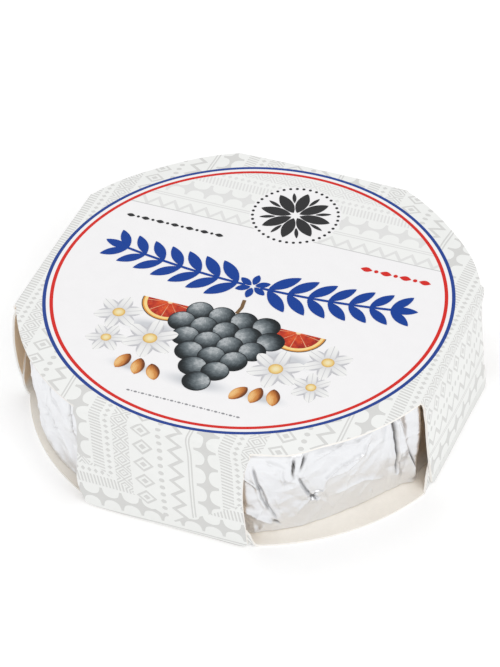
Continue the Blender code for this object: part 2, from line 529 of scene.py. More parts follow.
def make_ornament_rows() -> None:
    """Group for a woven-tape pattern: bands of uneven height, each with one small ornament repeated."""
    nodes, given, result = Group.start(
        "ornament_rows", {"Along": "Float", "Across": "Float"}, {"Mask": "Float"}
    )
    bands = (4.9, 2.1, 4.2, 1.5, 5.2, 2.7, 1.7, 3.9)
    cell_share = 0.8
    band_shift = 7.3
    period = sum(bands)
    turns = nodes.math("DIVIDE", given["Across"], period)
    within = nodes.math("FRACT", turns)
    stops = []
    start = 0.0
    for number, tall in enumerate(bands):
        stops.append((start / period, (start / period, tall / period, (number + 0.5) / len(bands))))
        start += tall
    split = nodes.add("SeparateColor")
    nodes.put(split.inputs[0], nodes.ramp(within, stops, steps=True))
    low, tall, pick = split.outputs
    up = nodes.math("DIVIDE", nodes.math("SUBTRACT", within, low), tall)
    cell = nodes.math("MULTIPLY", tall, period * cell_share)
    shifted = nodes.math("MULTIPLY", pick, band_shift)
    run = nodes.math("ADD", nodes.math("DIVIDE", given["Along"], cell), shifted)
    over = nodes.math("FRACT", run)
    side = nodes.math("ABSOLUTE", nodes.math("SUBTRACT", over, 0.5))
    rise = nodes.math("ABSOLUTE", nodes.math("SUBTRACT", up, 0.5))
    both = nodes.math("ADD", side, rise)
    squares = nodes.math("ADD", nodes.math("POWER", side, 2.0), nodes.math("POWER", rise, 2.0))
    near = nodes.math("SQRT", squares)
    wave = nodes.math("ABSOLUTE", nodes.math("SUBTRACT", nodes.math("MULTIPLY_ADD", side, 1.1, 0.22), up))
    slant = nodes.math("FRACT", nodes.math("MULTIPLY_ADD", up, 0.6, nodes.math("MULTIPLY", run, 3.0)))
    petals = nodes.math("MULTIPLY", side, rise)
    shapes = (
        nodes.math("ADD", nodes.band(both, 0.3, 0.44), nodes.band(both, -0.2, 0.16)),
        nodes.band(near, -0.3, 0.27),
        nodes.band(wave, -0.2, 0.13),
        nodes.band(rise, 0.1, 0.3),
        nodes.band(petals, -0.1, 0.028),
        nodes.band(slant, 0.0, 0.5),
        nodes.band(both, -0.4, 0.34),
        nodes.band(nodes.math("PINGPONG", both, 0.12), -0.1, 0.06),
    )
    mask: Socket | None = None
    for number, drawn in enumerate(shapes):
        chosen = nodes.band(pick, number / len(shapes), (number + 1) / len(shapes))
        part = nodes.math("MULTIPLY", chosen, drawn)
        mask = part if mask is None else nodes.math("ADD", mask, part)
    nodes.put(result["Mask"], nodes.math("MULTIPLY", mask, nodes.band(up, 0.07, 0.93)))


def make_painted_round() -> None:
    """Group for a drawn round thing: how far out a place is, its angle, and how it is lit."""
    nodes, given, result = Group.start(
        "painted_round",
        {"Place": "Vector", "Lamp": "Vector"},
        {"Reach": "Float", "Angle": "Float", "Light": "Float"},
    )
    x, y, _ = nodes.split(given["Place"])
    reach = nodes.vector("LENGTH", nodes.join(x, y))
    left_over = nodes.math("SUBTRACT", 1.0, nodes.math("POWER", reach, 2.0))
    depth = nodes.math("SQRT", nodes.math("MAXIMUM", left_over, 0.0))
    light = nodes.vector("DOT_PRODUCT", nodes.join(x, y, depth), given["Lamp"])
    nodes.put(result["Reach"], reach)
    nodes.put(result["Angle"], nodes.math("ARCTAN2", y, x))
    nodes.put(result["Light"], light)


LABEL_WHITE = srgb(244, 243, 244)
RIM_WHITE = srgb(241, 242, 240)
ROW_GREY = srgb(216, 216, 214)
PALE_ROW_GREY = srgb(226, 226, 225)
LINE_GREY = srgb(206, 206, 206)
BLUE = srgb(0, 60, 150)
RING_BLUE = srgb(34, 66, 146)
RED = srgb(214, 38, 30)
BLACK = srgb(44, 44, 46)


@dataclass(frozen=True)
class Finish:
    """A material of the pack."""

    name: str
    specular: ClassVar[float] = 0.16

    def new(self) -> tuple[bpy.types.Material, Nodes, bpy.types.Node]:
        """Start a material.

        Returns:
            The material, its builder and its Principled shader.
        """
        material = bpy.data.materials.new(self.name)
        material.use_nodes = True
        nodes = Nodes(material.node_tree)
        return material, nodes, material.node_tree.nodes["Principled BSDF"]

    def grain(self, nodes: Nodes, shader: bpy.types.Node, strength: float, scale: float = 5000.0) -> Socket:
        """Give a shader the fine relief of board.

        Args:
            nodes: The material's builder.
            shader: The Principled shader.
            strength: Strength of the bump.
            scale: Fineness of the fibres.

        Returns:
            The shade to multiply colours by.
        """
        place = nodes.add("TexCoord").outputs["Object"]
        grain = Group.use(nodes, "board_grain", Place=place, Scale=scale)
        bump = nodes.add("Bump")
        bump.inputs["Strength"].default_value = strength
        bump.inputs["Distance"].default_value = 0.02 * MM
        nodes.put(bump.inputs["Height"], grain.outputs["Height"])
        nodes.put(shader.inputs["Normal"], bump.outputs["Normal"])
        shader.inputs["Specular IOR Level"].default_value = self.specular
        return grain.outputs["Shade"]

    def build(self) -> bpy.types.Material:
        """Make the material."""
        raise NotImplementedError


@dataclass(frozen=True)
class PrintedBoard(Finish):
    """White coated board with grey rows all over and, on the top panel, the round label.

    Attributes:
        has_label: Whether the round label shows.
        ring_radius: Radius of the blue ring, in millimetres as all that follows.
        red_radius: Radius of the red ring.
        ring_half: Half width of a ring.
        line_height: Height of the thin line under the label's header.
        line_half: Half width of that line.
        side_start: Where the first band starts outside the label, but for the part at the print's foot.
        end_start: Where it starts in that part, whose bands run across the others.
        header_start: Where it starts in the label's header.
        corner_slope: Slope of the border of the part at the print's foot.
        corner_foot: Where that border crosses the middle, below the label.
    """

    has_label: bool = True
    ring_radius: float = 39.6
    red_radius: float = 38.2
    ring_half: float = 0.35
    line_height: float = 19.0
    line_half: float = 0.13
    side_start: float = 60.0
    end_start: float = 77.0
    header_start: float = 41.0
    corner_slope: float = 0.6
    corner_foot: float = 63.4

    def build(self) -> bpy.types.Material:
        """Make the material."""
        material, nodes, shader = self.new()
        shade = self.grain(nodes, shader, 0.25)
        shader.inputs["Roughness"].default_value = 0.42
        flat = nodes.add("UVMap", uv_map="flat").outputs["UV"]
        to_mm = 1 / (UV_PER_METRE * MM)
        x, y, _ = nodes.split(nodes.vector("MULTIPLY", flat, (to_mm, to_mm, 0.0)))
        outside = self.ornaments(nodes, y, x, self.side_start)
        crossing = self.ornaments(nodes, x, y, self.end_start)
        slanted = nodes.math("MULTIPLY_ADD", nodes.math("ABSOLUTE", x), -self.corner_slope, y)
        corner = nodes.math("LESS_THAN", slanted, -self.corner_foot)
        colour = nodes.mix(nodes.mix(corner, outside, crossing), RIM_WHITE, ROW_GREY)
        if self.has_label:
            colour = self.label(nodes, colour, x, y)
        nodes.put(shader.inputs["Base Color"], nodes.shaded(colour, shade))
        return material

    def ornaments(self, nodes: Nodes, along: Socket, across: Socket, start: float) -> Socket:
        """Mask of the woven-tape rows, whose first band starts at a place across."""
        place = nodes.math("ADD", across, start)
        return Group.use(nodes, "ornament_rows", Along=along, Across=place).outputs["Mask"]

    def label(self, nodes: Nodes, colour: Socket, x: Socket, y: Socket) -> Socket:
        """Lay the label over the rows.

        Args:
            nodes: The material's builder.
            colour: The board's colour so far.
            x: Place across the label, in millimetres.
            y: Place up the label, in millimetres.

        Returns:
            The colour with the label.
        """
        away = nodes.vector("LENGTH", nodes.join(x, y))
        header = nodes.mix(self.ornaments(nodes, x, y, self.header_start), RIM_WHITE, PALE_ROW_GREY)
        face = nodes.mix(nodes.math("GREATER_THAN", y, self.line_height), LABEL_WHITE, header)
        line = nodes.band(y, self.line_height - self.line_half, self.line_height + self.line_half)
        face = nodes.mix(line, face, LINE_GREY)
        face = nodes.mix(nodes.math("GREATER_THAN", away, self.red_radius), face, LABEL_WHITE)
        colour = nodes.mix(nodes.math("LESS_THAN", away, self.ring_radius), colour, face)
        for radius, ink in ((self.ring_radius, RING_BLUE), (self.red_radius, RED)):
            ring = nodes.band(away, radius - self.ring_half, radius + self.ring_half)
            colour = nodes.mix(ring, colour, ink)
        return colour


@dataclass(frozen=True)
class BareBoard(Finish):
    """Unprinted board, as seen inside the wrap and on its cut edges, with a browner painted shade on what
    stands up.

    Attributes:
        colour: Colour of what lies flat.
        painted_shade_colour: Browner colour of what stands up: painted shade, in place of the warm shade that
            falls inside the walls and flaps.
        roughness: How matt it is.
        painted_shade_from: Height over the table at which the painted shade starts.
        painted_shade_to: Height at which the painted shade ends, which is over the pack.
        worn: What the mottling multiplies the colour by.
    """

    colour: Colour = srgb(254, 248, 238)
    painted_shade_colour: Colour = srgb(254, 227, 194)
    roughness: float = 0.75
    painted_shade_from: float = 1.8 * MM
    painted_shade_to: float = 60.0 * MM
    worn: Colour = (0.93, 0.93, 0.93)

    def build(self) -> bpy.types.Material:
        """Make the material."""
        material, nodes, shader = self.new()
        shade = self.grain(nodes, shader, 0.6, 3500.0)
        shader.inputs["Roughness"].default_value = self.roughness
        place = nodes.add("TexCoord").outputs["Object"]
        # Painted shade: bare board higher than the base panel, the walls' and flaps' inner faces most of all,
        # is mixed towards the browner colour.
        painted_shade_mask = nodes.band(nodes.split(place)[2], self.painted_shade_from, self.painted_shade_to, 2.0 * MM)
        colour = nodes.mix(painted_shade_mask, self.colour, self.painted_shade_colour)
        worn = nodes.mix(1.0, colour, self.worn, "MULTIPLY")
        mottle = nodes.mix(nodes.noise(place, 900.0, 3.0, 0.6), colour, worn)
        nodes.put(shader.inputs["Base Color"], nodes.shaded(mottle, shade))
        return material


@dataclass(frozen=True)
class CrumpledFoil(Finish):
    """Bright thin foil with a satin skin and fine crinkles, and painted shade along the slits of its creases.
    """

    def build(self) -> bpy.types.Material:
        """Make the material."""
        material, nodes, shader = self.new()
        shader.inputs["Metallic"].default_value = 1.0
        place = nodes.add("TexCoord").outputs["Object"]
        cloud = nodes.noise(place, 160.0, 3.0)
        # Painted shade: the slit attribute mixes a dark warm grey into the slits of the creases.
        slit = nodes.add("Attribute", attribute_name="slit").outputs["Fac"]
        bright = nodes.mix(cloud, srgb(231, 232, 235), srgb(243, 244, 246))
        nodes.put(shader.inputs["Base Color"], nodes.mix(slit, bright, srgb(92, 88, 84)))
        nodes.put(shader.inputs["Roughness"], nodes.math("MULTIPLY_ADD", cloud, 0.14, 0.31))
        cells = nodes.add("TexVoronoi", feature="DISTANCE_TO_EDGE")
        nodes.put(cells.inputs["Vector"], place)
        cells.inputs["Scale"].default_value = 420.0
        wrinkle = nodes.math("MINIMUM", cells.outputs["Distance"], 0.12)
        bump = nodes.add("Bump")
        bump.inputs["Strength"].default_value = 0.3
        bump.inputs["Distance"].default_value = 0.12 * MM
        raised = nodes.math("MULTIPLY", wrinkle, 3.0)
        height = nodes.math("MULTIPLY_ADD", nodes.noise(place, 900.0, 3.0), 0.5, raised)
        nodes.put(bump.inputs["Height"], height)
        nodes.put(shader.inputs["Normal"], bump.outputs["Normal"])
        return material


@dataclass(frozen=True)
class Ink(Finish):
    """One flat printed colour."""

    colour: Colour = BLACK

    def build(self) -> bpy.types.Material:
        """Make the material."""
        material, nodes, shader = self.new()
        shade = self.grain(nodes, shader, 0.2)
        shader.inputs["Roughness"].default_value = 0.4
        nodes.put(shader.inputs["Base Color"], nodes.shaded(self.colour, shade))
        return material


@dataclass(frozen=True)
class Painted(Finish):
    """A printed picture colour that varies inside each shape's own box, which its UV map holds."""

    lamp: tuple[float, float, float] = (-0.35, 0.55, 0.76)

    def paint(self, nodes: Nodes, place: Socket, round_: bpy.types.Node) -> Socket:
        """Work out the colour.

        Args:
            nodes: The material's builder.
            place: Place in the shape's box, -1 to 1 each way.
            round_: The painted_round group's node.

        Returns:
            The colour.
        """
        raise NotImplementedError

    def build(self) -> bpy.types.Material:
        """Make the material."""
        material, nodes, shader = self.new()
        self.grain(nodes, shader, 0.2)
        shader.inputs["Roughness"].default_value = 0.42
        place = nodes.add("UVMap", uv_map="flat").outputs["UV"]
        round_ = Group.use(nodes, "painted_round", Place=place, Lamp=self.lamp)
        nodes.put(shader.inputs["Base Color"], self.paint(nodes, place, round_))
        return material


@dataclass(frozen=True)
class GrapeSkin(Painted):
    """Blue-black skin with a grey bloom."""

    def paint(self, nodes: Nodes, place: Socket, round_: bpy.types.Node) -> Socket:
        """Work out the colour, as Painted says."""
        blotch = nodes.noise(place, 3.2, 4.0, 0.6)
        streak = nodes.noise(nodes.vector("MULTIPLY", place, (7.0, 1.2, 1.0)), 2.0, 3.0)
        light = nodes.math("MULTIPLY_ADD", nodes.math("SUBTRACT", blotch, 0.5), 0.55, round_.outputs["Light"])
        light = nodes.math("MULTIPLY_ADD", nodes.math("SUBTRACT", streak, 0.5), 0.3, light)
        stops = (
            (0.0, srgb(22, 27, 30)),
            (0.3, srgb(44, 52, 56)),
            (0.62, srgb(88, 97, 102)),
            (0.86, srgb(128, 136, 140)),
            (1.0, srgb(176, 181, 184)),
        )
        colour = nodes.ramp(light, stops)
        return nodes.mix(nodes.math("GREATER_THAN", round_.outputs["Reach"], 0.94), colour, srgb(24, 28, 32))


@dataclass(frozen=True)
class CitrusFace(Painted):
    """The cut face of a red-fleshed orange: segments, pale pith and a thin peel."""

    segments: int = 9

    def paint(self, nodes: Nodes, place: Socket, round_: bpy.types.Node) -> Socket:
        """Work out the colour, as Painted says."""
        reach, angle = round_.outputs["Reach"], round_.outputs["Angle"]
        polar = nodes.join(nodes.math("MULTIPLY", angle, 6.0), nodes.math("MULTIPLY", reach, 5.0))
        sacs = nodes.add("TexVoronoi", feature="F1")
        nodes.put(sacs.inputs["Vector"], polar)
        sacs.inputs["Scale"].default_value = 1.6
        stops = (
            (0.25, srgb(232, 120, 40)),
            (0.5, srgb(214, 74, 34)),
            (0.72, srgb(176, 44, 30)),
            (0.9, srgb(140, 30, 28)),
        )
        outward = nodes.math("MULTIPLY", reach, 0.35)
        pulp = nodes.ramp(nodes.math("MULTIPLY_ADD", nodes.noise(place, 4.0, 3.0), 0.9, outward), stops)
        shine = nodes.band(sacs.outputs["Distance"], -0.2, 0.16, 0.2)
        pulp = nodes.mix(nodes.math("MULTIPLY", shine, 0.55), pulp, srgb(244, 168, 112))
        turn = nodes.math("FRACT", nodes.math("MULTIPLY_ADD", angle, self.segments / (2 * math.pi), 10.3))
        wall = nodes.band(turn, -0.04, 0.05, 0.03)
        pulp = nodes.mix(nodes.math("MULTIPLY", wall, 0.75), pulp, srgb(246, 204, 160))
        pulp = nodes.mix(nodes.band(reach, -0.1, 0.09, 0.06), pulp, srgb(248, 222, 176))
        pith = nodes.mix(nodes.noise(place, 6.0), srgb(250, 226, 160), srgb(244, 206, 120))
        colour = nodes.mix(nodes.math("GREATER_THAN", reach, 0.8), pulp, pith)
        colour = nodes.mix(nodes.band(reach, 0.905, 0.955, 0.03), colour, srgb(226, 150, 60))
        return nodes.mix(nodes.math("GREATER_THAN", reach, 0.955), colour, srgb(96, 74, 52))


@dataclass(frozen=True)
class AlmondSkin(Painted):
    """Brown grooved skin of a shelled almond."""

    def paint(self, nodes: Nodes, place: Socket, round_: bpy.types.Node) -> Socket:
        """Work out the colour, as Painted says."""
        groove = nodes.noise(nodes.vector("MULTIPLY", place, (1.2, 9.0, 1.0)), 1.4, 3.0)
        light = nodes.math("MULTIPLY_ADD", nodes.math("SUBTRACT", groove, 0.5), 0.9, round_.outputs["Light"])
        stops = (
            (0.05, srgb(110, 58, 24)),
            (0.35, srgb(176, 102, 44)),
            (0.7, srgb(214, 146, 76)),
            (1.0, srgb(240, 196, 132)),
        )
        return nodes.ramp(light, stops)


@dataclass(frozen=True)
class BlossomHeart(Painted):
    """Cream heart of a blossom, warmer at its edge."""

    def paint(self, nodes: Nodes, place: Socket, round_: bpy.types.Node) -> Socket:
        """Work out the colour, as Painted says."""
        stops = ((0.2, srgb(240, 228, 186)), (0.7, srgb(236, 206, 132)), (1.0, srgb(214, 168, 86)))
        speckle = nodes.math("MULTIPLY_ADD", nodes.noise(place, 5.0, 3.0), 0.4, round_.outputs["Reach"])
        return nodes.ramp(nodes.math("SUBTRACT", speckle, 0.2), stops)


@dataclass(frozen=True)
class Petal(Painted):
    """White petal with a grey vein and edge."""

    def paint(self, nodes: Nodes, place: Socket, round_: bpy.types.Node) -> Socket:
        """Work out the colour, as Painted says."""
        along, across, _ = nodes.split(place)
        stops = ((0.0, srgb(206, 206, 208)), (0.45, srgb(232, 232, 232)), (1.0, srgb(244, 244, 242)))
        colour = nodes.ramp(nodes.math("MULTIPLY_ADD", along, 0.5, 0.5), stops)
        away = nodes.math("ABSOLUTE", across)
        colour = nodes.mix(nodes.band(away, -0.1, 0.06, 0.05), colour, srgb(208, 208, 210))
        return nodes.mix(nodes.band(away, 0.72, 1.3, 0.2), colour, srgb(198, 198, 202))


@dataclass(frozen=True)
class SoftShade(Painted):
    """A soft printed shadow that fades into the label's white."""

    depth: Colour = srgb(206, 208, 212)

    def paint(self, nodes: Nodes, place: Socket, round_: bpy.types.Node) -> Socket:
        """Work out the colour, as Painted says."""
        stops = ((0.35, self.depth), (0.75, srgb(236, 236, 238)), (1.0, LABEL_WHITE))
        return nodes.ramp(round_.outputs["Reach"], stops)


# Board wrap


WallRow = tuple[float, float, float, float, float]


@dataclass(frozen=True)
class WallShape:
    """How one wall hangs.

    Attributes:
        rows: From the fold down, in millimetres: depth under the top, then the distance out and the half
            width at the clockwise edge, and both again at the other edge.
        belly: How far the middle stands out between its edges.
        wave: How uneven it is.
    """

    rows: tuple[WallRow, ...]
    belly: float = 0.35 * MM
    wave: float = 0.22 * MM

    def at(self, head: WallRow, depth: float) -> tuple[float, ...]:
        """Read the rows at a depth, smoothly between them.

        Args:
            head: The row at the fold's foot.
            depth: Depth under the top in millimetres.

        Returns:
            The four values of a row.
        """
        rows = (head, *self.rows)
        if depth <= rows[0][0]:
            return rows[0][1:]
        if depth >= rows[-1][0]:
            return rows[-1][1:]
        index = next(number for number in range(1, len(rows)) if depth <= rows[number][0])
        low, high = rows[index - 1], rows[index]
        before, after = rows[max(0, index - 2)], rows[min(len(rows) - 1, index + 1)]
        span = high[0] - low[0]
        part = (depth - low[0]) / span
        values = []
        for a, b, c, d in zip(before[1:], low[1:], high[1:], after[1:]):
            start_slope = (c - a) / (high[0] - before[0]) * span
            end_slope = (d - b) / (after[0] - low[0]) * span
            curve = (2 * part**3 - 3 * part**2 + 1) * b + (part**3 - 2 * part**2 + part) * start_slope
            values.append(curve + (3 * part**2 - 2 * part**3) * c + (part**3 - part**2) * end_slope)
        return tuple(values)


@dataclass
class BoardWrap:
    """The folded board: a top panel with four walls, and a base panel with four glued flaps."""

    pack: PackSizes
    columns: int = 44
    arc_columns: int = 44
    flat_to: float = 37.0 * MM
    fold_drop: float = 1.2 * MM
    fold_lip: float = 0.75 * MM
    lift: float = 0.25 * MM
    rows: int = 44
    flap_height: float = 9.5 * MM
    flap_from: float = 3.2 * MM
    flap_end_half: float = 14.6 * MM
    corner: float = 0.8 * MM
    corner_from: float = 0.88
    bend_part: float = 0.22
    walls: tuple[WallShape, ...] = (
        WallShape(
            (
                (3.0, 41.8, 17.4, 41.8, 17.5),
                (6.0, 41.9, 17.0, 41.9, 16.8),
                (12.0, 42.0, 16.6, 42.3, 16.0),
                (18.0, 42.0, 15.9, 42.6, 15.5),
                (23.25, 42.0, 15.3, 42.8, 15.3),
            )
        ),
        WallShape(
            (
                (3.0, 42.0, 17.1, 42.0, 17.1),
                (6.0, 42.2, 16.5, 42.2, 16.5),
                (12.0, 42.6, 16.1, 42.6, 16.1),
                (18.0, 42.8, 16.3, 42.8, 16.3),
                (23.25, 42.9, 16.6, 42.9, 16.6),
            )
        ),
        WallShape(
            (
                (3.0, 42.1, 17.2, 42.4, 17.4),
                (6.0, 42.5, 16.7, 43.1, 17.1),
                (12.0, 43.0, 16.3, 43.9, 17.0),
                (18.0, 43.1, 16.4, 43.9, 16.9),
                (23.25, 43.0, 16.4, 42.8, 16.6),
            ),
            belly=0.1 * MM,
        ),
        WallShape(
            (
                (3.0, 42.0, 17.4, 41.9, 17.0),
                (6.0, 42.2, 17.4, 42.1, 16.2),
                (12.0, 42.7, 17.8, 42.6, 15.8),
                (18.0, 43.1, 18.4, 42.9, 16.1),
                (23.25, 43.3, 17.0, 42.8, 16.1),
            )
        ),
    )
    made: list[bpy.types.Object] = field(default_factory=list)

    def rim_azimuths(self) -> list[float]:
        """Azimuth of each vertex of the rim, with the same number across each fold and each window."""
        azimuths = []
        folds = self.pack.folds
        for number, fold in enumerate(folds):
            for column in range(self.columns):
                azimuths.append(fold.turn + math.atan2(fold.half * (2 * column / self.columns - 1), fold.out))
            after = folds[(number + 1) % 4]
            start = fold.turn + fold.half_angle
            span = (after.turn - after.half_angle - start) % (2 * math.pi)
            for column in range(self.arc_columns):
                azimuths.append(start + span * column / self.arc_columns)
        return azimuths

    def round_panel(self, name: str) -> bpy.types.Object:
        """Make a flat round panel with rings near its edge."""
        Bench.clear()
        count = 4 * (self.columns + self.arc_columns)
        bpy.ops.mesh.primitive_circle_add(vertices=count, radius=self.pack.radius, fill_type="NGON")
        panel = bpy.context.object
        panel.name = name
        bpy.ops.object.mode_set(mode="EDIT")
        bpy.ops.mesh.select_all(action="SELECT")
        for ring in (0.3, 0.5, 0.7, 0.9, 1.1, 1.3, 1.5, 1.7):
            bpy.ops.mesh.inset(thickness=ring * MM, use_boundary=True)
        bpy.ops.object.mode_set(mode="OBJECT")
        return panel

    def panel_spots(self, panel: bpy.types.Object) -> list[Point]:
        """Give each vertex of a round panel its place on the flat blank, with the folds cut straight."""
        azimuths = self.rim_azimuths()
        count = len(azimuths)
        spots = []
        for vert in panel.data.vertices:
            reach = vert.co.xy.length
            index = round(math.atan2(vert.co.y, vert.co.x) / (2 * math.pi) * count) + self.columns // 2
            azimuth = azimuths[index % count]
            if reach > self.flat_to:
                part = (reach - self.flat_to) / (self.pack.radius - self.flat_to)
                reach = self.flat_to + part * (self.pack.edge_distance(azimuth) - self.flat_to)
            spots.append((reach * math.cos(azimuth), reach * math.sin(azimuth)))
        return spots

    def shape_panel(
        self,
        panel: bpy.types.Object,
        height: Callable[[float, float], float],
        up: float,
    ) -> None:
        """Shape a round panel, write its UV map and turn its face outwards.

        Args:
            panel: The round panel.
            height: Gives the height at a place of the blank.
            up: 1 where the outer face looks up, -1 where it looks down.
        """
        spots = dict(enumerate(self.panel_spots(panel)))
        for vert in panel.data.vertices:
            vert.co = Vector((*spots[vert.index], 0.0))

        def place(co: Vector) -> Vector:
            """Place a point of the panel."""
            level = height(co.x, co.y)
            return Vector((co.x + self.pack.shift(level), co.y, level))

        Bench.shape(panel, place, lambda co: (co.x * UV_PER_METRE, co.y * UV_PER_METRE))
        Bench.face_out(panel, lambda centre: Vector((0, 0, up)))

    def wall_outer(self, quarter: int, height: float, side: float) -> Point:
        """Distance out and half width of a wall's outer face.

        Args:
            quarter: The wall's number.
            height: Height over the table.
            side: Place across, from -1 to 1.

        Returns:
            Distance out and half width.
        """
        fold = self.pack.folds[quarter]
        shape = self.walls[quarter]
        edge = ((fold.out + self.fold_lip) / MM, fold.half / MM)
        head = (self.fold_drop / MM, *edge, *edge)
        depth = (self.pack.height - height) / MM
        out_from, half_from, out_to, half_to = shape.at(head, depth)
        held = smooth(self.fold_drop / MM, 8.0, depth)
        out = (out_from + (out_to - out_from) * (side + 1) / 2) * MM
        out += shape.belly * held * (1 - side * side) * math.sin(math.pi * min(1.0, depth / 24.0))
        uneven = noise.noise(Vector((side * 1.4 + quarter * 5.0, depth * 0.09, 0.0)))
        return out + shape.wave * uneven * held, (half_from if side < 0 else half_to) * MM

    def set_down(self, quarter: int, out: float, across: float, height: float) -> Vector:
        """Put a wall's point at its place, with its level settled sideways."""
        x, y = self.pack.folds[quarter].place(out, across)
        return Vector((x + self.pack.shift(height), y, height))

    def wall(self, quarter: int) -> bpy.types.Object:
        """Make one wall, from its fold to its free lower edge."""
        sheet = Bench.grid(f"wall_{quarter}", self.columns, self.rows)
        fold = self.pack.folds[quarter]
        bend = self.bend_part

        def spot(co: Vector) -> tuple[float, float, float, float]:
            """Distance out, place across, height, and length from the fold."""
            side = 2 * co.x - 1
            top = self.pack.crown(*fold.place(fold.out, fold.half * side))
            if co.y <= bend:
                angle = math.pi / 2 * co.y / bend
                out = fold.out + self.fold_lip * math.sin(angle)
                height = top - self.fold_drop * (1 - math.cos(angle))
                return out, fold.half * side, height, self.fold_drop * angle
            part = (co.y - bend) / (1 - bend)
            beyond = max(0.0, abs(side) - self.corner_from) / (1 - self.corner_from)
            foot = self.lift + self.corner * beyond**2.5
            height = top - self.fold_drop + (foot - top + self.fold_drop) * part
            out, half = self.wall_outer(quarter, height, side)
            ease = smooth(0.0, 0.14, part)
            out = (fold.out + self.fold_lip) * (1 - ease) + out * ease
            return out, half * side, height, (math.pi / 2 - 1) * self.fold_drop + top - height

        def place(co: Vector) -> Vector:
            """Place a point of the wall."""
            out, across, height, _ = spot(co)
            return self.set_down(quarter, out, across, height)

        def flat(co: Vector) -> Point:
            """Give the wall's place on the flat blank."""
            _, across, _, length = spot(co)
            x, y = fold.place(fold.out + length, across)
            return x * UV_PER_METRE, y * UV_PER_METRE

        Bench.shape(sheet, place, flat)
        Bench.face_out(sheet, lambda centre: Vector((*fold.place(1.0, 0.0), 0.2)))
        return sheet

    def thicken(self, sheet: bpy.types.Object, finishes: Sequence[bpy.types.Material]) -> None:
        """Give a sheet the board's thickness, with bare board inside and on the cut edge."""
        sheet.data.materials.clear()
        for finish in finishes:
            sheet.data.materials.append(finish)
        Bench.apply(
            sheet,
            "SOLIDIFY",
            thickness=self.pack.board,
            offset=-1.0,
            use_even_offset=True,
            material_offset=1,
            material_offset_rim=2,
        )
        Bench.smooth(sheet, 50.0)

    def build_top(self, finishes: Sequence[bpy.types.Material]) -> bpy.types.Object:
        """Make the top panel with its walls.

        Args:
            finishes: Print, bare board and cut edge.

        Returns:
            The piece.
        """
        panel = self.round_panel("top_panel")
        self.shape_panel(panel, self.pack.crown, 1.0)
        sheets = [panel] + [self.wall(quarter) for quarter in range(4)]
        sheet = Bench.join(sheets, "top_and_walls", merge=0.02 * MM)
        self.thicken(sheet, finishes)
        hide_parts("board_wrap")
        self.made.append(sheet)
        return sheet

    def flap(self, quarter: int) -> bpy.types.Object:
        """Make one glue flap, out from the base's fold and up inside its wall."""
        sheet = Bench.grid(f"flap_{quarter}", self.columns, 20)
        fold = self.pack.folds[quarter]

        def spot(co: Vector) -> tuple[float, float, float]:
            """Distance out, place across and height of a point of the flap."""
            side = 2 * co.x - 1
            behind = self.pack.board + 0.04 * MM
            if co.y < 0.3:
                part = co.y / 0.3
                against = self.wall_outer(quarter, self.flap_from, side)[0] - behind
                out = fold.out + (against - fold.out) * math.sin(part * math.pi / 2)
                height = self.flap_from * (1 - math.cos(part * math.pi / 2))
                return out, fold.half * side * (1 - 0.06 * part), height
            part = (co.y - 0.3) / 0.7
            end = self.flap_from + (self.flap_height - self.flap_from) * math.sqrt(1 - 0.8 * side**4)
            height = self.flap_from + (end - self.flap_from) * part
            half = fold.half * 0.94 + (self.flap_end_half - fold.half * 0.94) * part
            return self.wall_outer(quarter, height, side)[0] - behind, half * side, height

        def place(co: Vector) -> Vector:
            """Place a point of the flap."""
            out, across, height = spot(co)
            return self.set_down(quarter, out, across, height)

        def flat(co: Vector) -> Point:
            """Give the flap's place on the flat blank."""
            x, y = fold.place(fold.out + co.y * self.flap_height, spot(co)[1])
            return x * UV_PER_METRE, y * UV_PER_METRE

        Bench.shape(sheet, place, flat)
        Bench.face_out(sheet, lambda centre: Vector((*fold.place(1.0, 0.0), -0.2)))
        return sheet

    def build_base(self, finishes: Sequence[bpy.types.Material]) -> bpy.types.Object:
        """Make the base panel with its flaps.

        Args:
            finishes: Print, bare board and cut edge.

        Returns:
            The piece.
        """
        panel = self.round_panel("base_panel")
        self.shape_panel(panel, lambda x, y: 0.0, -1.0)
        sheets = [panel] + [self.flap(quarter) for quarter in range(4)]
        sheet = Bench.join(sheets, "base_and_flaps", merge=0.02 * MM)
        self.thicken(sheet, finishes)
        self.made.append(sheet)
        return sheet


# Foil


@dataclass
class Facets:
    """Random flat facets over the foil's side, with sharp creases between them."""

    around: float
    height: float
    spacing: float
    depth: float
    seed: int

    def tree(self) -> BVHTree:
        """Make the facets as a surface over the unrolled side."""
        draw = random.Random(self.seed)
        points: list[Vector] = []
        depths: list[float] = []
        columns = max(6, round(self.around / self.spacing))
        rows = max(2, round(self.height / self.spacing)) + 2
        step = self.around / columns
        base: list[tuple[float, float, float]] = []
        for column in range(columns):
            for row in range(-1, rows):
                along = (column + draw.uniform(-0.42, 0.42) + 0.5 * (row % 2)) * step
                up = (row + draw.uniform(-0.4, 0.4)) * self.height / (rows - 2)
                base.append((along, up, draw.uniform(-1.0, 1.0) * self.depth))
        for turn in (-1, 0, 1):
            for along, up, depth in base:
                points.append(Vector((along + turn * self.around, up)))
                depths.append(depth)
        verts, _, faces, _, _, _ = delaunay_2d_cdt(points, [], [], 0, 1e-9)
        return BVHTree.FromPolygons([Vector((v.x, v.y, depths[i])) for i, v in enumerate(verts)], faces)


class Mark(Enum):
    """What a crease does to the foil's skin."""

    RIDGE = "raised line"
    GROOVE = "sunken line"
    STEP = "fold that stands out on its left side and drops at the line"


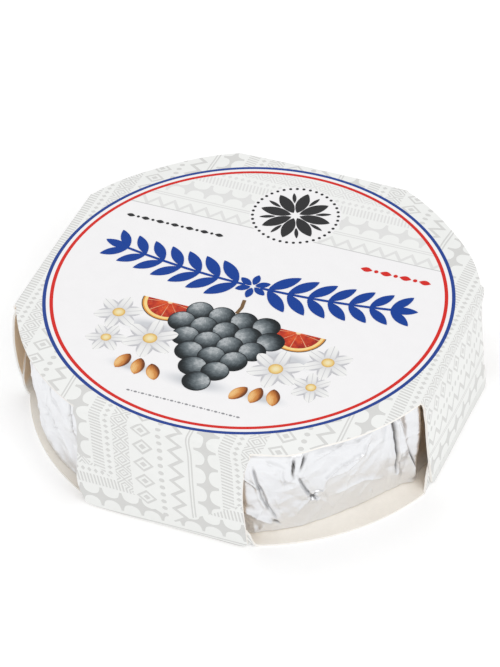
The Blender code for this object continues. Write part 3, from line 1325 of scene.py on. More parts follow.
@dataclass(frozen=True)
class Crease:
    """A crease along a line on the foil's side.

    Attributes:
        mark: What it does.
        points: Azimuth in degrees and height in millimetres, in order.
        depth: How far it lifts or sinks the skin, in millimetres.
        width: How wide it is, in millimetres.
        dark: How dark the painted shade in the slit along it is, 0 to 1.
    """

    mark: Mark
    points: tuple[Point, ...]
    depth: float
    width: float
    dark: float = 0.0
    felt_widths: ClassVar[float] = 4.5
    longest_taper: ClassVar[float] = 1.6
    taper_share: ClassVar[float] = 0.35
    end_strength: ClassVar[float] = 0.25
    slit_half: ClassVar[float] = 0.2

    @property
    def middle(self) -> float:
        """Azimuth halfway between the outermost points."""
        places = [azimuth for azimuth, _ in self.points]
        return (min(places) + max(places)) / 2

    def near(self, degrees: float) -> bool:
        """Whether an azimuth can feel the crease."""
        places = [azimuth for azimuth, _ in self.points]
        reach = (max(places) - min(places)) / 2 + self.felt_widths * self.width / MM_PER_DEGREE
        return abs(math.remainder(degrees - self.middle, 360.0)) < reach

    def read(self, degrees: float, height: float) -> Point:
        """Read the crease at a place.

        Args:
            degrees: Azimuth in degrees.
            height: Height in millimetres.

        Returns:
            How far it moves the skin in millimetres, and how much painted shade it lays on it.
        """
        along = math.remainder(degrees - self.middle, 360.0)
        best, left = 1e9, 1.0
        for (a0, h0), (a1, h1) in zip(self.points, self.points[1:]):
            ax, bx = (a0 - self.middle) * MM_PER_DEGREE, (a1 - self.middle) * MM_PER_DEGREE
            dx, dy = bx - ax, h1 - h0
            px, py = along * MM_PER_DEGREE - ax, height - h0
            size = dx * dx + dy * dy
            part = min(1.0, max(0.0, (px * dx + py * dy) / size))
            away = math.hypot(px - dx * part, py - dy * part)
            if away < best:
                best = away
                left = dx * py - dy * px
        taper = 1.0
        first, last = self.points[0], self.points[-1]
        length = math.hypot((last[0] - first[0]) * MM_PER_DEGREE, last[1] - first[1])
        reach = min(self.longest_taper, self.taper_share * length)
        for azimuth, level in (first, last):
            gone = math.hypot((along - (azimuth - self.middle)) * MM_PER_DEGREE, height - level)
            taper = min(taper, smooth(0.0, reach, gone))
        taper = self.end_strength + (1 - self.end_strength) * taper
        if self.mark is Mark.RIDGE:
            return self.depth * taper * math.exp(-math.hypot(best, 0.12) / self.width), 0.0
        if self.mark is Mark.GROOVE:
            sunk = math.exp(-((best / self.width) ** 2))
            lip = 0.35 * math.exp(-(((best - 2.0 * self.width) / self.width) ** 2))
            # Painted shade along the groove's bottom.
            groove_painted_shade = math.exp(-((best / (0.75 * self.width)) ** 2))
            return self.depth * taper * (lip - sunk), self.dark * taper * groove_painted_shade
        signed = best if left > 0 else -best
        raised = max(0.0, 1 - best / self.width) ** 1.3 * smooth(-0.22, 0.22, signed)
        # The slit both sinks the skin under the fold and carries painted shade.
        slit = math.exp(-(((signed + self.slit_half) / self.slit_half) ** 2))
        return self.depth * taper * (raised - 0.2 * slit), self.dark * slit * taper


@dataclass(frozen=True)
class Skin:
    """The foil's radius all round, at its head and at its foot.

    Attributes:
        places: Azimuth in degrees, head radius and foot radius in millimetres, from -180 degrees up.
        windows: Azimuths between which the foil is in the open.
        outside: How far beyond a window the foil still crumples, in degrees.
        inside: How far into a window it crumples in full, in degrees.
    """

    places: tuple[tuple[float, float, float], ...]
    windows: tuple[Point, ...]
    outside: float = 6.0
    inside: float = 2.0

    def radius(self, degrees: float, part: float) -> float:
        """Radius at an azimuth, and at a part of the height from 0 to 1."""
        turn = (degrees + 180.0) % 360.0 - 180.0
        around = (*self.places, (self.places[0][0] + 360.0, *self.places[0][1:]))
        index = next(number for number in range(1, len(around)) if turn <= around[number][0])
        (low, *before), (high, *after) = around[index - 1], around[index]
        share = smooth(low, high, turn)
        head, foot = (a + (b - a) * share for a, b in zip(before, after))
        return (foot + (head - foot) * smooth(0.0, 0.8, part)) * MM

    def open_part(self, degrees: float) -> float:
        """How far an azimuth is inside a window, from 0 to 1."""
        turn = (degrees + 180.0) % 360.0 - 180.0
        parts = []
        for low, high in self.windows:
            entered = smooth(low - self.outside, low + self.inside, turn)
            parts.append(entered * (1 - smooth(high - self.inside, high + self.outside, turn)))
        return max(parts)


R, G, S = Mark.RIDGE, Mark.GROOVE, Mark.STEP


@dataclass
class FoilCheese:
    """The cheese in its foil.

    Attributes:
        spread: Azimuth in degrees, and the part of the mesh's columns that lies before it.
        facets: Spacing, depth and seed of each layer of facets.
    """

    pack: PackSizes
    radius: float = 40.3 * MM
    shoulder: float = 1.5 * MM
    foot_curve: float = 0.45 * MM
    clearance: float = 0.4 * MM
    hem_height: float = 2.2 * MM
    hem_depth: float = 0.16 * MM
    small_count: int = 34
    facets: tuple[tuple[float, float, int], ...] = (
        (8.0 * MM, 0.5 * MM, 11),
        (3.8 * MM, 0.34 * MM, 5),
        (1.8 * MM, 0.15 * MM, 23),
    )
    columns: int = 820
    rows: int = 118
    seed: int = 17
    spread: tuple[Point, ...] = (
        (-180.0, 0.0),
        (-160.0, 0.007),
        (-110.0, 0.227),
        (-72.0, 0.242),
        (-16.0, 0.632),
        (20.0, 0.647),
        (70.0, 0.817),
        (110.0, 0.83),
        (160.0, 0.995),
        (180.0, 1.0),
    )
    skin: Skin = Skin(
        places=(
            (-180.0, 40.9, 40.6),
            (-170.0, 41.4, 41.2),
            (-162.0, 42.6, 42.0),
            (-156.0, 43.6, 42.8),
            (-150.0, 44.1, 43.2),
            (-137.0, 44.5, 43.3),
            (-126.0, 44.2, 43.2),
            (-118.0, 44.0, 43.0),
            (-113.0, 43.6, 42.6),
            (-108.0, 42.4, 41.8),
            (-100.0, 41.3, 41.0),
            (-88.0, 40.7, 40.5),
            (-80.0, 41.6, 41.1),
            (-74.0, 43.0, 41.8),
            (-70.0, 44.1, 41.7),
            (-58.0, 44.3, 41.2),
            (-52.0, 44.0, 40.6),
            (-42.0, 43.3, 39.9),
            (-35.0, 42.6, 39.6),
            (-30.8, 42.2, 39.6),
            (-29.4, 42.6, 39.9),
            (-27.2, 42.6, 40.2),
            (-25.2, 42.3, 40.2),
            (-21.7, 43.5, 41.3),
            (-20.3, 42.1, 40.6),
            (-17.0, 41.1, 40.4),
            (-5.0, 40.8, 40.5),
            (8.0, 40.6, 40.4),
            (20.0, 41.3, 40.9),
            (29.0, 42.6, 41.5),
            (46.0, 42.7, 41.7),
            (61.0, 42.5, 41.6),
            (70.0, 41.4, 40.9),
            (88.0, 40.6, 40.5),
            (110.0, 41.5, 41.0),
            (118.0, 42.7, 41.6),
            (136.0, 43.1, 41.9),
            (152.0, 42.7, 41.7),
            (162.0, 41.7, 41.2),
        ),
        windows=((-156.0, -114.0), (-69.0, -22.0), (23.0, 66.0), (114.0, 156.0)),
    )
    creases: tuple[Crease, ...] = (
        Crease(G, ((-58.1, 21.6), (-58.8, 18.0), (-58.6, 16.7)), 0.8, 0.32, 0.85),
        Crease(G, ((-55.4, 21.8), (-57.0, 18.4)), 0.6, 0.28, 0.8),
        Crease(R, ((-56.8, 21.9), (-57.9, 17.6)), 0.7, 0.45),
        Crease(S, ((-53.7, 8.6), (-55.6, 11.1), (-56.8, 14.0), (-57.9, 17.2)), 0.75, 2.6, 0.5),
        Crease(G, ((-54.9, 9.4), (-52.4, 7.6)), 0.5, 0.3, 0.9),
        Crease(G, ((-54.6, 7.3), (-52.6, 9.6)), 0.3, 0.24, 0.6),
        Crease(R, ((-53.7, 8.3), (-57.2, 5.9), (-58.3, 4.0)), 0.4, 0.4),
        Crease(R, ((-53.0, 7.8), (-49.4, 5.1), (-47.0, 2.0)), 0.35, 0.4),
        Crease(R, ((-51.9, 7.6), (-50.4, 13.7), (-46.3, 16.3), (-40.3, 17.0), (-37.4, 20.5)), 0.8, 0.55),
        Crease(R, ((-51.2, 13.4), (-45.0, 13.8), (-40.8, 16.4)), 0.55, 0.36),
        Crease(R, ((-47.9, 6.6), (-39.5, 8.4), (-31.1, 5.1)), 0.45, 0.45),
        Crease(G, ((-27.7, 5.2), (-29.2, 13.1), (-30.3, 21.4)), 0.5, 0.27, 0.9),
        Crease(S, ((-22.4, 1.6), (-22.6, 5.0), (-26.2, 13.0), (-28.7, 21.6)), 0.9, 2.6, 0.7),
        Crease(G, ((-68.1, 19.6), (-67.5, 15.6), (-66.5, 10.5), (-64.8, 6.3)), 0.35, 0.25, 0.45),
        Crease(G, ((-63.0, 3.4), (-65.2, 8.2), (-67.1, 15.1)), 0.3, 0.26, 0.35),
        Crease(R, ((-72.5, 7.4), (-69.3, 6.0), (-66.0, 4.2), (-63.5, 2.9)), 1.0, 0.8),
        Crease(G, ((-64.6, 4.5), (-62.5, 2.6)), 0.35, 0.26, 0.85),
        Crease(R, ((-65.6, 21.2), (-62.5, 20.1), (-60.2, 18.6), (-58.9, 17.0)), 0.85, 0.5),
        Crease(R, ((-54.0, 20.6), (-48.0, 21.2), (-42.0, 20.0), (-36.0, 21.0)), 0.4, 0.7),
        Crease(G, ((-118.3, 22.0), (-118.2, 18.3), (-118.4, 14.8), (-118.9, 9.0)), 0.5, 0.3, 0.6),
        Crease(G, ((-136.9, 21.6), (-137.1, 20.0)), 0.3, 0.3, 0.6),
        Crease(G, ((-126.6, 21.6), (-127.2, 20.4)), 0.3, 0.3, 0.6),
        Crease(G, ((-129.7, 10.5), (-130.3, 9.2)), 0.3, 0.25, 0.5),
        Crease(G, ((-140.6, 7.0), (-140.2, 4.6)), 0.3, 0.3, 0.6),
        Crease(S, ((-139.0, 21.5), (-136.0, 9.0), (-133.0, 2.5)), 0.5, 2.2, 0.15),
        Crease(R, ((-125.0, 22.0), (-128.0, 12.0), (-124.0, 4.0)), 0.45, 0.5),
        Crease(R, ((-131.5, 21.0), (-128.5, 14.0)), 0.4, 0.5),
        Crease(R, ((-142.5, 8.0), (-137.0, 3.0)), 0.4, 0.5),
        Crease(G, ((31.0, 21.0), (32.0, 13.0), (31.5, 5.0)), 0.6, 0.3, 0.8),
        Crease(S, ((52.0, 3.0), (54.0, 12.0), (51.0, 21.0)), 0.7, 2.6, 0.4),
        Crease(R, ((38.0, 20.0), (43.0, 12.0), (49.0, 9.0)), 0.5, 0.6),
        Crease(R, ((60.0, 18.0), (56.0, 9.0), (59.0, 3.0)), 0.5, 0.5),
        Crease(G, ((122.0, 21.0), (123.5, 12.0), (122.5, 6.0)), 0.5, 0.3, 0.7),
        Crease(S, ((140.0, 21.0), (142.0, 11.0), (139.0, 3.0)), 0.7, 2.4, 0.4),
        Crease(R, ((127.0, 4.0), (132.0, 11.0), (137.0, 19.0)), 0.5, 0.6),
        Crease(R, ((147.0, 17.0), (144.0, 8.0)), 0.4, 0.5),
    )

    def azimuth_at(self, part: float) -> float:
        """Azimuth of a column, with the columns closer together in the windows."""
        for (low, before), (high, after) in zip(self.spread, self.spread[1:]):
            if part <= after:
                return math.radians(low + (high - low) * (part - before) / (after - before))
        return math.radians(self.spread[-1][0])

    def profile(self, part: float) -> Point:
        """Radius and height of the smooth side, from under the foot to the top's rim."""
        low = self.pack.board + 0.02 * MM
        high = self.pack.height - self.pack.board - 0.06 * MM
        foot, top = 0.045, 0.93
        if part < foot:
            angle = math.pi / 2 * part / foot
            radius = self.radius - 0.5 * MM * (1 - math.sin(angle))
            return radius, low + self.foot_curve * (1 - math.cos(angle))
        if part > top:
            angle = math.pi / 2 * (part - top) / (1 - top)
            return (
                self.radius - self.shoulder * (1 - math.cos(angle)),
                high - self.shoulder + self.shoulder * math.sin(angle),
            )
        bottom = low + self.foot_curve
        rise = (part - foot) / (top - foot)
        return self.radius, bottom + (high - self.shoulder - bottom) * rise

    def small_creases(self) -> list[Crease]:
        """Many short ridges at random over the windows."""
        draw = random.Random(self.seed)
        small = []
        for low, high in self.skin.windows:
            for _ in range(self.small_count):
                azimuth = draw.uniform(low, high)
                height = draw.uniform(1.5, 21.5)
                turn = draw.gauss(math.pi / 2, 0.7)
                length = draw.uniform(2.0, 7.0)
                points = []
                for step in range(3):
                    away = (step - 1) * length / 2
                    along = azimuth + (away * math.cos(turn) + draw.uniform(-0.4, 0.4)) / MM_PER_DEGREE
                    level = height + away * math.sin(turn) + draw.uniform(-0.4, 0.4)
                    points.append((along, min(22.0, max(0.8, level))))
                mark = draw.choice((R, R, S))
                depth = draw.uniform(0.14, 0.42)
                width = draw.uniform(0.25, 0.6)
                small.append(Crease(mark, tuple(points), depth, width, 0.1))
        return small

    def build(self, finish: bpy.types.Material) -> bpy.types.Object:
        """Make the crumpled foil.

        Args:
            finish: The foil's material.

        Returns:
            The piece.
        """
        around = 2 * math.pi * self.radius
        layers = [Facets(around, self.pack.height, *sizes).tree() for sizes in self.facets]
        skin = Bench.grid("foil", self.columns, self.rows)
        creases = [*self.creases, *self.small_creases()]
        by_column: dict[float, list[Crease]] = {}
        # Painted shade of each vertex along the creases, kept for the slit attribute.
        dark: list[float] = []

        def relief(along: float, height: float) -> float:
            """How far the facets lift a place."""
            total = 0.0
            for tree in layers:
                hit = tree.ray_cast(Vector((along % around, height, -1.0)), Vector((0, 0, 1)))[0]
                total += hit.z if hit else 0.0
            return total

        def place(co: Vector) -> Vector:
            """Place a point of the foil."""
            azimuth = self.azimuth_at(co.x)
            degrees = math.degrees(azimuth)
            radius, height = self.profile(co.y)
            part = height / self.pack.height
            inside = self.skin.open_part(degrees)
            held = min(smooth(0.0, 0.06, co.y), 1 - smooth(0.93, 1.0, co.y))
            out = self.skin.radius(degrees, part) - self.radius
            out += relief(azimuth / (2 * math.pi) * around, height) * held * (0.3 + 0.7 * inside)
            key = round(co.x, 6)
            if key not in by_column:
                by_column[key] = [crease for crease in creases if crease.near(degrees)]
            shade = 0.0
            for crease in by_column[key]:
                move, depth = crease.read(degrees, height / MM)
                out += move * MM * held
                shade = max(shade, depth)
            dark.append(min(1.0, shade))
            hem = (1 - smooth(0.0, self.hem_height, height)) * inside
            wobble = noise.noise(Vector((math.cos(azimuth) * 7, math.sin(azimuth) * 7, 0.4)))
            out += hem * self.hem_depth * (1 + wobble)
            radius = min(radius + out, self.pack.radius - self.clearance)
            x, y = radius * math.cos(azimuth), radius * math.sin(azimuth)
            height -= (self.pack.height - self.pack.crown(x, y)) * smooth(0.3, 1.0, co.y)
            return Vector((x + self.pack.shift(height), y, height))

        Bench.shape(skin, place, lambda co: (co.x, co.y))
        # The slit attribute holds the painted shade that the foil's material mixes in.
        layer = skin.data.attributes.new("slit", "FLOAT", "POINT")
        layer.data.foreach_set("value", dark)
        Bench.take(skin)
        bpy.ops.object.mode_set(mode="EDIT")
        bpy.ops.mesh.select_all(action="SELECT")
        bpy.ops.mesh.remove_doubles(threshold=0.004 * MM)
        bpy.ops.mesh.select_all(action="DESELECT")
        bpy.ops.mesh.select_non_manifold()
        bpy.ops.mesh.edge_face_add()
        bpy.ops.mesh.select_all(action="SELECT")
        bpy.ops.mesh.fill_holes(sides=0)
        bpy.ops.mesh.normals_make_consistent(inside=False)
        bpy.ops.object.mode_set(mode="OBJECT")
        skin.data.materials.append(finish)
        Bench.smooth(skin, 32.0)
        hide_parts("foil_cheese")
        return skin


# Printed picture and ornaments


def polar(x: float, y: float, reach: float, heading: float) -> Point:
    """Point at a distance and a heading in degrees from another."""
    turn = math.radians(heading)
    return x + reach * math.cos(turn), y + reach * math.sin(turn)


def turned(x: float, y: float, local: Sequence[Point], turn: float) -> list[Point]:
    """Turn points by degrees about the origin, and then move them."""
    cos, sin = math.cos(math.radians(turn)), math.sin(math.radians(turn))
    return [(x + px * cos - py * sin, y + px * sin + py * cos) for px, py in local]


def oval(x: float, y: float, rx: float, ry: float, turn: float = 0.0, steps: int = 64) -> list[Point]:
    """Outline of an oval, in millimetres.

    Args:
        x: Middle across.
        y: Middle up.
        rx: Half width.
        ry: Half height.
        turn: Turn in degrees.
        steps: Number of points.

    Returns:
        The points.
    """
    angles = [2 * math.pi * step / steps for step in range(steps)]
    return turned(x, y, [(rx * math.cos(angle), ry * math.sin(angle)) for angle in angles], turn)


def leaf(x: float, y: float, length: float, width: float, turn: float, blunt: float = 0.8) -> list[Point]:
    """Outline of a pointed leaf whose tips lie along a direction.

    Args:
        x: Middle across.
        y: Middle up.
        length: Tip to tip.
        width: Widest part.
        turn: Direction of the tips in degrees.
        blunt: Lower numbers give fuller leaves.

    Returns:
        The points.
    """
    steps = 14
    local = []
    for side in (-1, 1):
        for step in range(steps):
            part = step / steps
            half = width / 2 * math.sin(math.pi * part) ** blunt
            local.append((side * length * (0.5 - part), side * half))
    return turned(x, y, local, turn)


def stroke(points: Sequence[Point], width: float) -> list[Point]:
    """Outline of a thin line along points.

    Args:
        points: The line's middle.
        width: Its width.

    Returns:
        The points of the outline.
    """
    left, right = [], []
    for index, (x, y) in enumerate(points):
        before = points[max(0, index - 1)]
        after = points[min(len(points) - 1, index + 1)]
        dx, dy = after[0] - before[0], after[1] - before[1]
        size = math.hypot(dx, dy) or 1.0
        nx, ny = -dy / size * width / 2, dx / size * width / 2
        left.append((x + nx, y + ny))
        right.append((x - nx, y - ny))
    return left + right[::-1]


@dataclass(frozen=True)
class Patch:
    """One flat printed shape, and the box in which its paint is drawn.

    Attributes:
        outline: Points in millimetres on the label.
        middle: Middle of the paint's box.
        half: Half sizes of the box.
        turn: Turn of the box in degrees.
    """

    outline: Sequence[Point]
    middle: Point = (0.0, 0.0)
    half: Point = (1.0, 1.0)
    turn: float = 0.0

    def local(self, x: float, y: float) -> Point:
        """Place in the paint's box, -1 to 1 each way."""
        cos, sin = math.cos(math.radians(self.turn)), math.sin(math.radians(self.turn))
        dx, dy = x - self.middle[0], y - self.middle[1]
        return (dx * cos + dy * sin) / self.half[0], (-dx * sin + dy * cos) / self.half[1]


def oval_patch(x: float, y: float, rx: float, ry: float, turn: float = 0.0) -> Patch:
    """An oval whose paint fills its own box."""
    return Patch(oval(x, y, rx, ry, turn), (x, y), (rx, ry), turn)


def leaf_patch(x: float, y: float, length: float, width: float, turn: float, blunt: float = 0.8) -> Patch:
    """A leaf whose paint fills its own box."""
    return Patch(leaf(x, y, length, width, turn, blunt), (x, y), (length / 2, width / 2), turn)


class Layer(Enum):
    """How high a printed layer lies over the board, in steps of the ink."""

    GROUND = 1
    BODY = 4
    FACE = 5
    FRONT = 6
    DETAIL = 7


@dataclass
class LabelPrint:
    """Everything printed on the label apart from its rings and rows."""

    pack: PackSizes
    ink: float = 0.012 * MM
    made: list[bpy.types.Object] = field(default_factory=list)

    def place(self, x: float, y: float, level: float) -> Vector:
        """Put a point of the label on the top panel, at a level counted in steps of the ink."""
        height = self.pack.height + self.ink * level
        return Vector((x * MM + self.pack.shift(self.pack.height), y * MM, height))

    def patch(self, patch: Patch, level: float) -> bpy.types.Object:
        """Make one flat shape.

        Args:
            patch: The shape.
            level: Its level in steps of the ink.

        Returns:
            The new object.
        """
        Bench.clear()
        count = len(patch.outline)
        bpy.ops.mesh.primitive_circle_add(vertices=count, radius=1.0, fill_type="NGON")
        shape = bpy.context.object
        mesh = shape.data
        Bench.write_flat(mesh, [patch.local(*point) for point in patch.outline])
        for vert, (x, y) in zip(mesh.vertices, patch.outline):
            vert.co = self.place(x, y, level)
        mesh.update()
        if mesh.polygons[0].normal.z < 0:
            mesh.flip_normals()
        return shape

    def add(
        self,
        name: str,
        patches: Sequence[Patch],
        layer: Layer,
        finish: bpy.types.Material,
    ) -> bpy.types.Object:
        """Make a printed piece from its shapes.

        Args:
            name: The piece's name.
            patches: Its shapes, which share the finish.
            layer: Its layer.
            finish: Its material.

        Returns:
            The piece.
        """
        step = 0.8 / len(patches)
        shapes = [self.patch(patch, layer.value + step * number) for number, patch in enumerate(patches)]
        piece = Bench.join(shapes, name)
        piece.data.materials.clear()
        piece.data.materials.append(finish)
        Bench.apply(piece, "SOLIDIFY", thickness=self.ink * (layer.value + 2), offset=-1.0)
        self.made.append(piece)
        return piece

    def garland(self, finish: bpy.types.Material) -> None:
        """Print the blue garland: a hanging stem with paired leaves that grow from a knot in its middle."""
        patches: list[Patch] = []
        half_length, sag, pairs = 31.5, 3.4, 7

        def spot(part: float) -> Point:
            """Point of the stem, from -1 at its left end to 1."""
            return half_length * part, 5.6 - sag * (1 - part * part)

        for side in (-1, 1):
            stem = [spot(side * step / 20) for step in range(1, 19)]
            patches.append(Patch(stroke(stem, 0.55)))
            end_x, end_y = spot(side * 0.95)
            patches.append(Patch(leaf(end_x, end_y, 5.4, 2.0, side * 12.0, 0.8)))
            for number in range(pairs):
                part = (number + 0.75) / (pairs + 0.8)
                x, y = spot(side * part)
                slope = math.degrees(math.atan(2 * sag * part / half_length))
                along = slope if side > 0 else 180 - slope
                size = 7.4 - 2.0 * part
                for turn in (-1, 1):
                    heading = along + turn * 46
                    middle = polar(x, y, size / 2 + 0.2, heading)
                    patches.append(Patch(leaf(*middle, size, size * 0.36, heading, 0.8)))
        x, y = spot(0.0)
        for petal in range(6):
            turn = 60.0 * petal + 30.0
            patches.append(Patch(leaf(*polar(x, y, 2.0, turn), 3.0, 1.5, turn, 0.7)))
        self.add("print_garland", patches, Layer.DETAIL, finish)

    def beads(self, start: Point, end: Point, count: int, size: float) -> list[Patch]:
        """A straight row of evenly spaced lozenges with dots between them.

        Args:
            start: First bead.
            end: Last bead.
            count: How many beads.
            size: Height of a lozenge.

        Returns:
            The shapes.
        """
        patches = []
        for number in range(count):
            part = number / (count - 1)
            x = start[0] + (end[0] - start[0]) * part
            y = start[1] + (end[1] - start[1]) * part
            if number % 2:
                patches.append(Patch(oval(x, y, size * 0.2, size * 0.2, 0.0, 12)))
            else:
                patches.append(Patch(leaf(x, y, size * 1.1, size * 0.6, 0.0, 1.0)))
        return patches

    def rows(self, black: bpy.types.Material, grey: bpy.types.Material, red: bpy.types.Material) -> None:
        """Print the rows of beads: dark on the left, red on the right, and a fine grey one at the foot."""
        self.add("print_dark_beads", self.beads((-31.0, 14.6), (-12.0, 14.6), 13, 1.6), Layer.BODY, black)
        self.add("print_fine_beads", self.beads((-11.0, -33.6), (11.0, -33.6), 31, 0.7), Layer.BODY, grey)
        self.add("print_red_beads", self.beads((19.0, 14.6), (31.0, 14.6), 7, 2.2), Layer.BODY, red)

    def rosette(self, white: bpy.types.Material, black: bpy.types.Material) -> None:
        """Print the eight-petalled rosette with a rim of dots."""
        x, y, outer = 0.0, 25.6, 8.6
        dots, petals = 40, 8
        ground = Patch(oval(x, y, outer + 0.6, outer + 0.6, 0.0, 96))
        self.add("print_rosette_ground", [ground], Layer.GROUND, white)
        shapes: list[Patch] = []
        for dot in range(dots):
            shapes.append(Patch(oval(*polar(x, y, outer, 360.0 * dot / dots), 0.32, 0.32, 0.0, 12)))
        for petal in range(petals):
            for reach, length, width, extra in ((4.1, 6.4, 2.5, 0.0), (5.6, 3.2, 0.8, 0.5)):
                heading = 360.0 * (petal + extra) / petals
                shapes.append(Patch(leaf(*polar(x, y, reach, heading), length, width, heading, 0.75)))
        self.add("print_rosette", shapes, Layer.BODY, black)

    def picture(self, finishes: dict[str, bpy.types.Material]) -> None:
        """Print the fruit festoon: a hanging bunch of grapes between mirrored blossoms, citrus and almonds.

        Args:
            finishes: The picture's materials by name.
        """
        sides = (-1, 1)
        shades = [oval_patch(0.0, -27.4, 8.5, 2.6)]
        shades += [oval_patch(side * 13.6, -15.6, 7.6, 2.6) for side in sides]
        shades += [oval_patch(side * 13.0, -27.2, 5.8, 1.9) for side in sides]
        self.add("print_shade", shades, Layer.GROUND, finishes["shade"])
        slices = []
        slice_radius, paint_radius = 5.6, 5.65
        for side in sides:
            x, y = side * 13.2, -7.6
            outline = [polar(x, y, slice_radius, turn) for turn in range(180, 361, 6)]
            slices.append(Patch(outline, (x, y), (paint_radius, paint_radius)))
        self.add("print_citrus", slices, Layer.BODY, finishes["citrus"])
        grapes = []
        radius = 2.65
        for row, count in enumerate((4, 5, 4, 3, 2, 1)):
            for number in range(count):
                x = (number - (count - 1) / 2) * radius * 1.72
                y = -8.2 - row * radius * 1.42
                grapes.append(oval_patch(x, y, radius, radius * 1.04, 30.0 * number - 20.0 * row))
        self.add("print_grapes", grapes, Layer.FACE, finishes["grape"])
        petals, hearts = [], []
        for side in sides:
            for out, y, size in ((21.4, -13.8, 4.6), (12.8, -18.8, 5.2), (20.8, -21.4, 3.8)):
                x = side * out
                for petal in range(6):
                    turn = 90.0 - side * (60.0 * petal + 12.0 * size)
                    middle = polar(x, y, size * 0.56, turn)
                    petals.append(leaf_patch(*middle, size, size * 0.6, turn, 0.6))
                hearts.append(oval_patch(x, y, size * 0.27, size * 0.27))
        self.add("print_petals", petals, Layer.FRONT, finishes["petal"])
        self.add("print_blossom_hearts", hearts, Layer.DETAIL, finishes["heart"])
        almonds = []
        for side in sides:
            for number, reach in enumerate((8.6, 11.9, 15.2)):
                tilt = side * (28.0 - 22.0 * number)
                almonds.append(leaf_patch(side * reach, -27.4 + 0.5 * number, 4.6, 2.6, 90.0 - tilt, 0.62))
        self.add("print_almonds", almonds, Layer.FACE, finishes["almond"])
        stem = [Patch(stroke(((0.0, -6.4), (0.3, -4.4), (0.0, -2.2)), 0.7))]
        self.add("print_stem", stem, Layer.FRONT, finishes["stem"])


# Studio


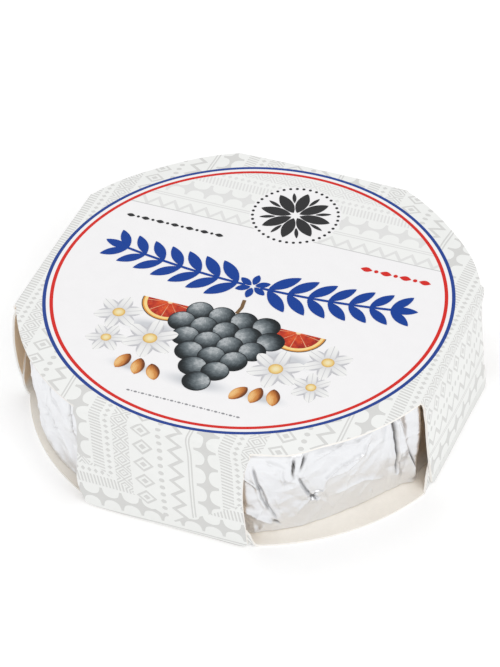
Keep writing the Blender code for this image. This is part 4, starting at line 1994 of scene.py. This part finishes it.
@dataclass
class Studio:
    """White table, soft light and the camera."""

    pack: PackSizes
    azimuth: float = 22.3
    elevation: float = 40.2
    distance: float = 547.8 * MM
    focal_pixels: float = 2831.0
    roll: float = -1.44
    image_width: int = 500
    image_height: int = 667
    aim_right: float = 1.3
    aim_down: float = 40.1

    def camera(self) -> None:
        """Put the camera where the photograph was taken."""
        data = bpy.data.cameras.new("camera")
        data.sensor_width = 36.0
        data.lens = self.focal_pixels / max(self.image_width, self.image_height) * data.sensor_width
        data.clip_start, data.clip_end = 0.01, 10.0
        camera = bpy.data.objects.new("camera", data)
        bpy.context.scene.collection.objects.link(camera)
        a, e = math.radians(self.azimuth), math.radians(self.elevation)
        back = Vector((math.sin(a) * math.cos(e), -math.cos(a) * math.cos(e), math.sin(e)))
        target = Vector((self.pack.shift(self.pack.height), 0.0, self.pack.height))
        right = Vector((math.cos(a), math.sin(a), 0.0))
        up = back.cross(right)
        turn = Matrix((right, up, back)).transposed()
        roll = math.radians(self.roll)
        turn = turn @ Matrix.Rotation(roll, 3, "Z")
        tilt = Matrix.Rotation(-math.atan2(self.aim_down, self.focal_pixels), 3, "X")
        pan = Matrix.Rotation(-math.atan2(self.aim_right, self.focal_pixels), 3, "Y")
        turn = turn @ tilt @ pan
        camera.matrix_world = Matrix.Translation(target + back * self.distance) @ turn.to_4x4()
        bpy.context.scene.camera = camera

    def table(self) -> None:
        """Lay the white table under the pack."""
        Bench.clear()
        bpy.ops.mesh.primitive_plane_add(size=6.0)
        table = bpy.context.object
        table.name = "table"
        material = bpy.data.materials.new("table_white")
        material.use_nodes = True
        shader = material.node_tree.nodes["Principled BSDF"]
        shader.inputs["Base Color"].default_value = (0.85, 0.85, 0.85, 1.0)
        shader.inputs["Roughness"].default_value = 0.9
        shader.inputs["Specular IOR Level"].default_value = 0.0
        shader.inputs["Emission Color"].default_value = (1.0, 1.0, 1.0, 1.0)
        shader.inputs["Emission Strength"].default_value = 0.24
        table.data.materials.append(material)

    def softbox(self, name: str, place: Vector, size: float, power: float) -> None:
        """Hang a square light that looks at the pack.

        Args:
            name: The light's name.
            place: Where it hangs.
            size: Its side.
            power: Its power in watts.
        """
        data = bpy.data.lights.new(name, "AREA")
        data.size = size
        data.energy = power
        light = bpy.data.objects.new(name, data)
        bpy.context.scene.collection.objects.link(light)
        light.location = place
        light.rotation_mode = "QUATERNION"
        light.rotation_quaternion = (-place).to_track_quat("-Z", "Y")

    def lights(self) -> None:
        """Light the pack softly from all round, with one lamp behind on the left and one in front."""
        world = bpy.data.worlds.new("studio")
        world.use_nodes = True
        background = world.node_tree.nodes["Background"]
        background.inputs["Color"].default_value = (1.0, 1.0, 1.0, 1.0)
        background.inputs["Strength"].default_value = 0.65
        bpy.context.scene.world = world
        self.softbox("key", Vector((-0.45, 0.35, 0.95)), 0.8, 2.5)
        self.softbox("front", Vector((0.6, -0.55, 0.8)), 0.7, 4.0)
        bpy.context.scene.view_settings.view_transform = "Standard"

    def build(self) -> None:
        """Set up the studio."""
        self.camera()
        self.table()
        self.lights()


def finishes() -> dict[str, bpy.types.Material]:
    """Make every material of the pack, by name."""
    make_board_grain()
    make_ornament_rows()
    make_painted_round()
    return {
        "print": PrintedBoard("printed_board").build(),
        "rows": PrintedBoard("printed_rows", has_label=False).build(),
        "bare": BareBoard("bare_board").build(),
        # The cut edge's colour for what stands up is its own colour, so it gets no painted shade.
        "edge": BareBoard("cut_edge", srgb(250, 247, 242), srgb(250, 247, 242), 0.8).build(),
        "foil": CrumpledFoil("crumpled_foil").build(),
        "blue": Ink("blue_ink", BLUE).build(),
        "red": Ink("red_ink", RED).build(),
        "black": Ink("black_ink", BLACK).build(),
        "grey": Ink("grey_ink", srgb(150, 150, 154)).build(),
        "white": Ink("white_ink", LABEL_WHITE).build(),
        "stem": Ink("stem_brown", srgb(120, 92, 60)).build(),
        "grape": GrapeSkin("grape_skin").build(),
        "citrus": CitrusFace("red_orange_face").build(),
        "almond": AlmondSkin("almond_skin").build(),
        "heart": BlossomHeart("blossom_heart").build(),
        "petal": Petal("white_petal").build(),
        "shade": SoftShade("soft_shade").build(),
    }


def main() -> None:
    """Build the looks, piece by piece."""
    logging.basicConfig(level=logging.INFO, format="%(message)s")
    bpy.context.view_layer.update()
    pack = PackSizes.from_frame()
    studio = Studio(pack)
    studio.build()
    looks = finishes()
    wrap = BoardWrap(pack)
    wrap.build_top((looks["print"], looks["bare"], looks["edge"]))
    wrap.build_base((looks["rows"], looks["bare"], looks["edge"]))
    foil = FoilCheese(pack).build(looks["foil"])
    label = LabelPrint(pack)
    label.garland(looks["blue"])
    label.rows(looks["black"], looks["grey"], looks["red"])
    label.rosette(looks["white"], looks["black"])
    label.picture(looks)
    for piece in [*wrap.made, *label.made, foil]:
        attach(piece, "root")
        LOG.info("%s: %d faces", piece.name, len(piece.data.polygons))
    Bench.clear()


if __name__ == "__main__":
    main()
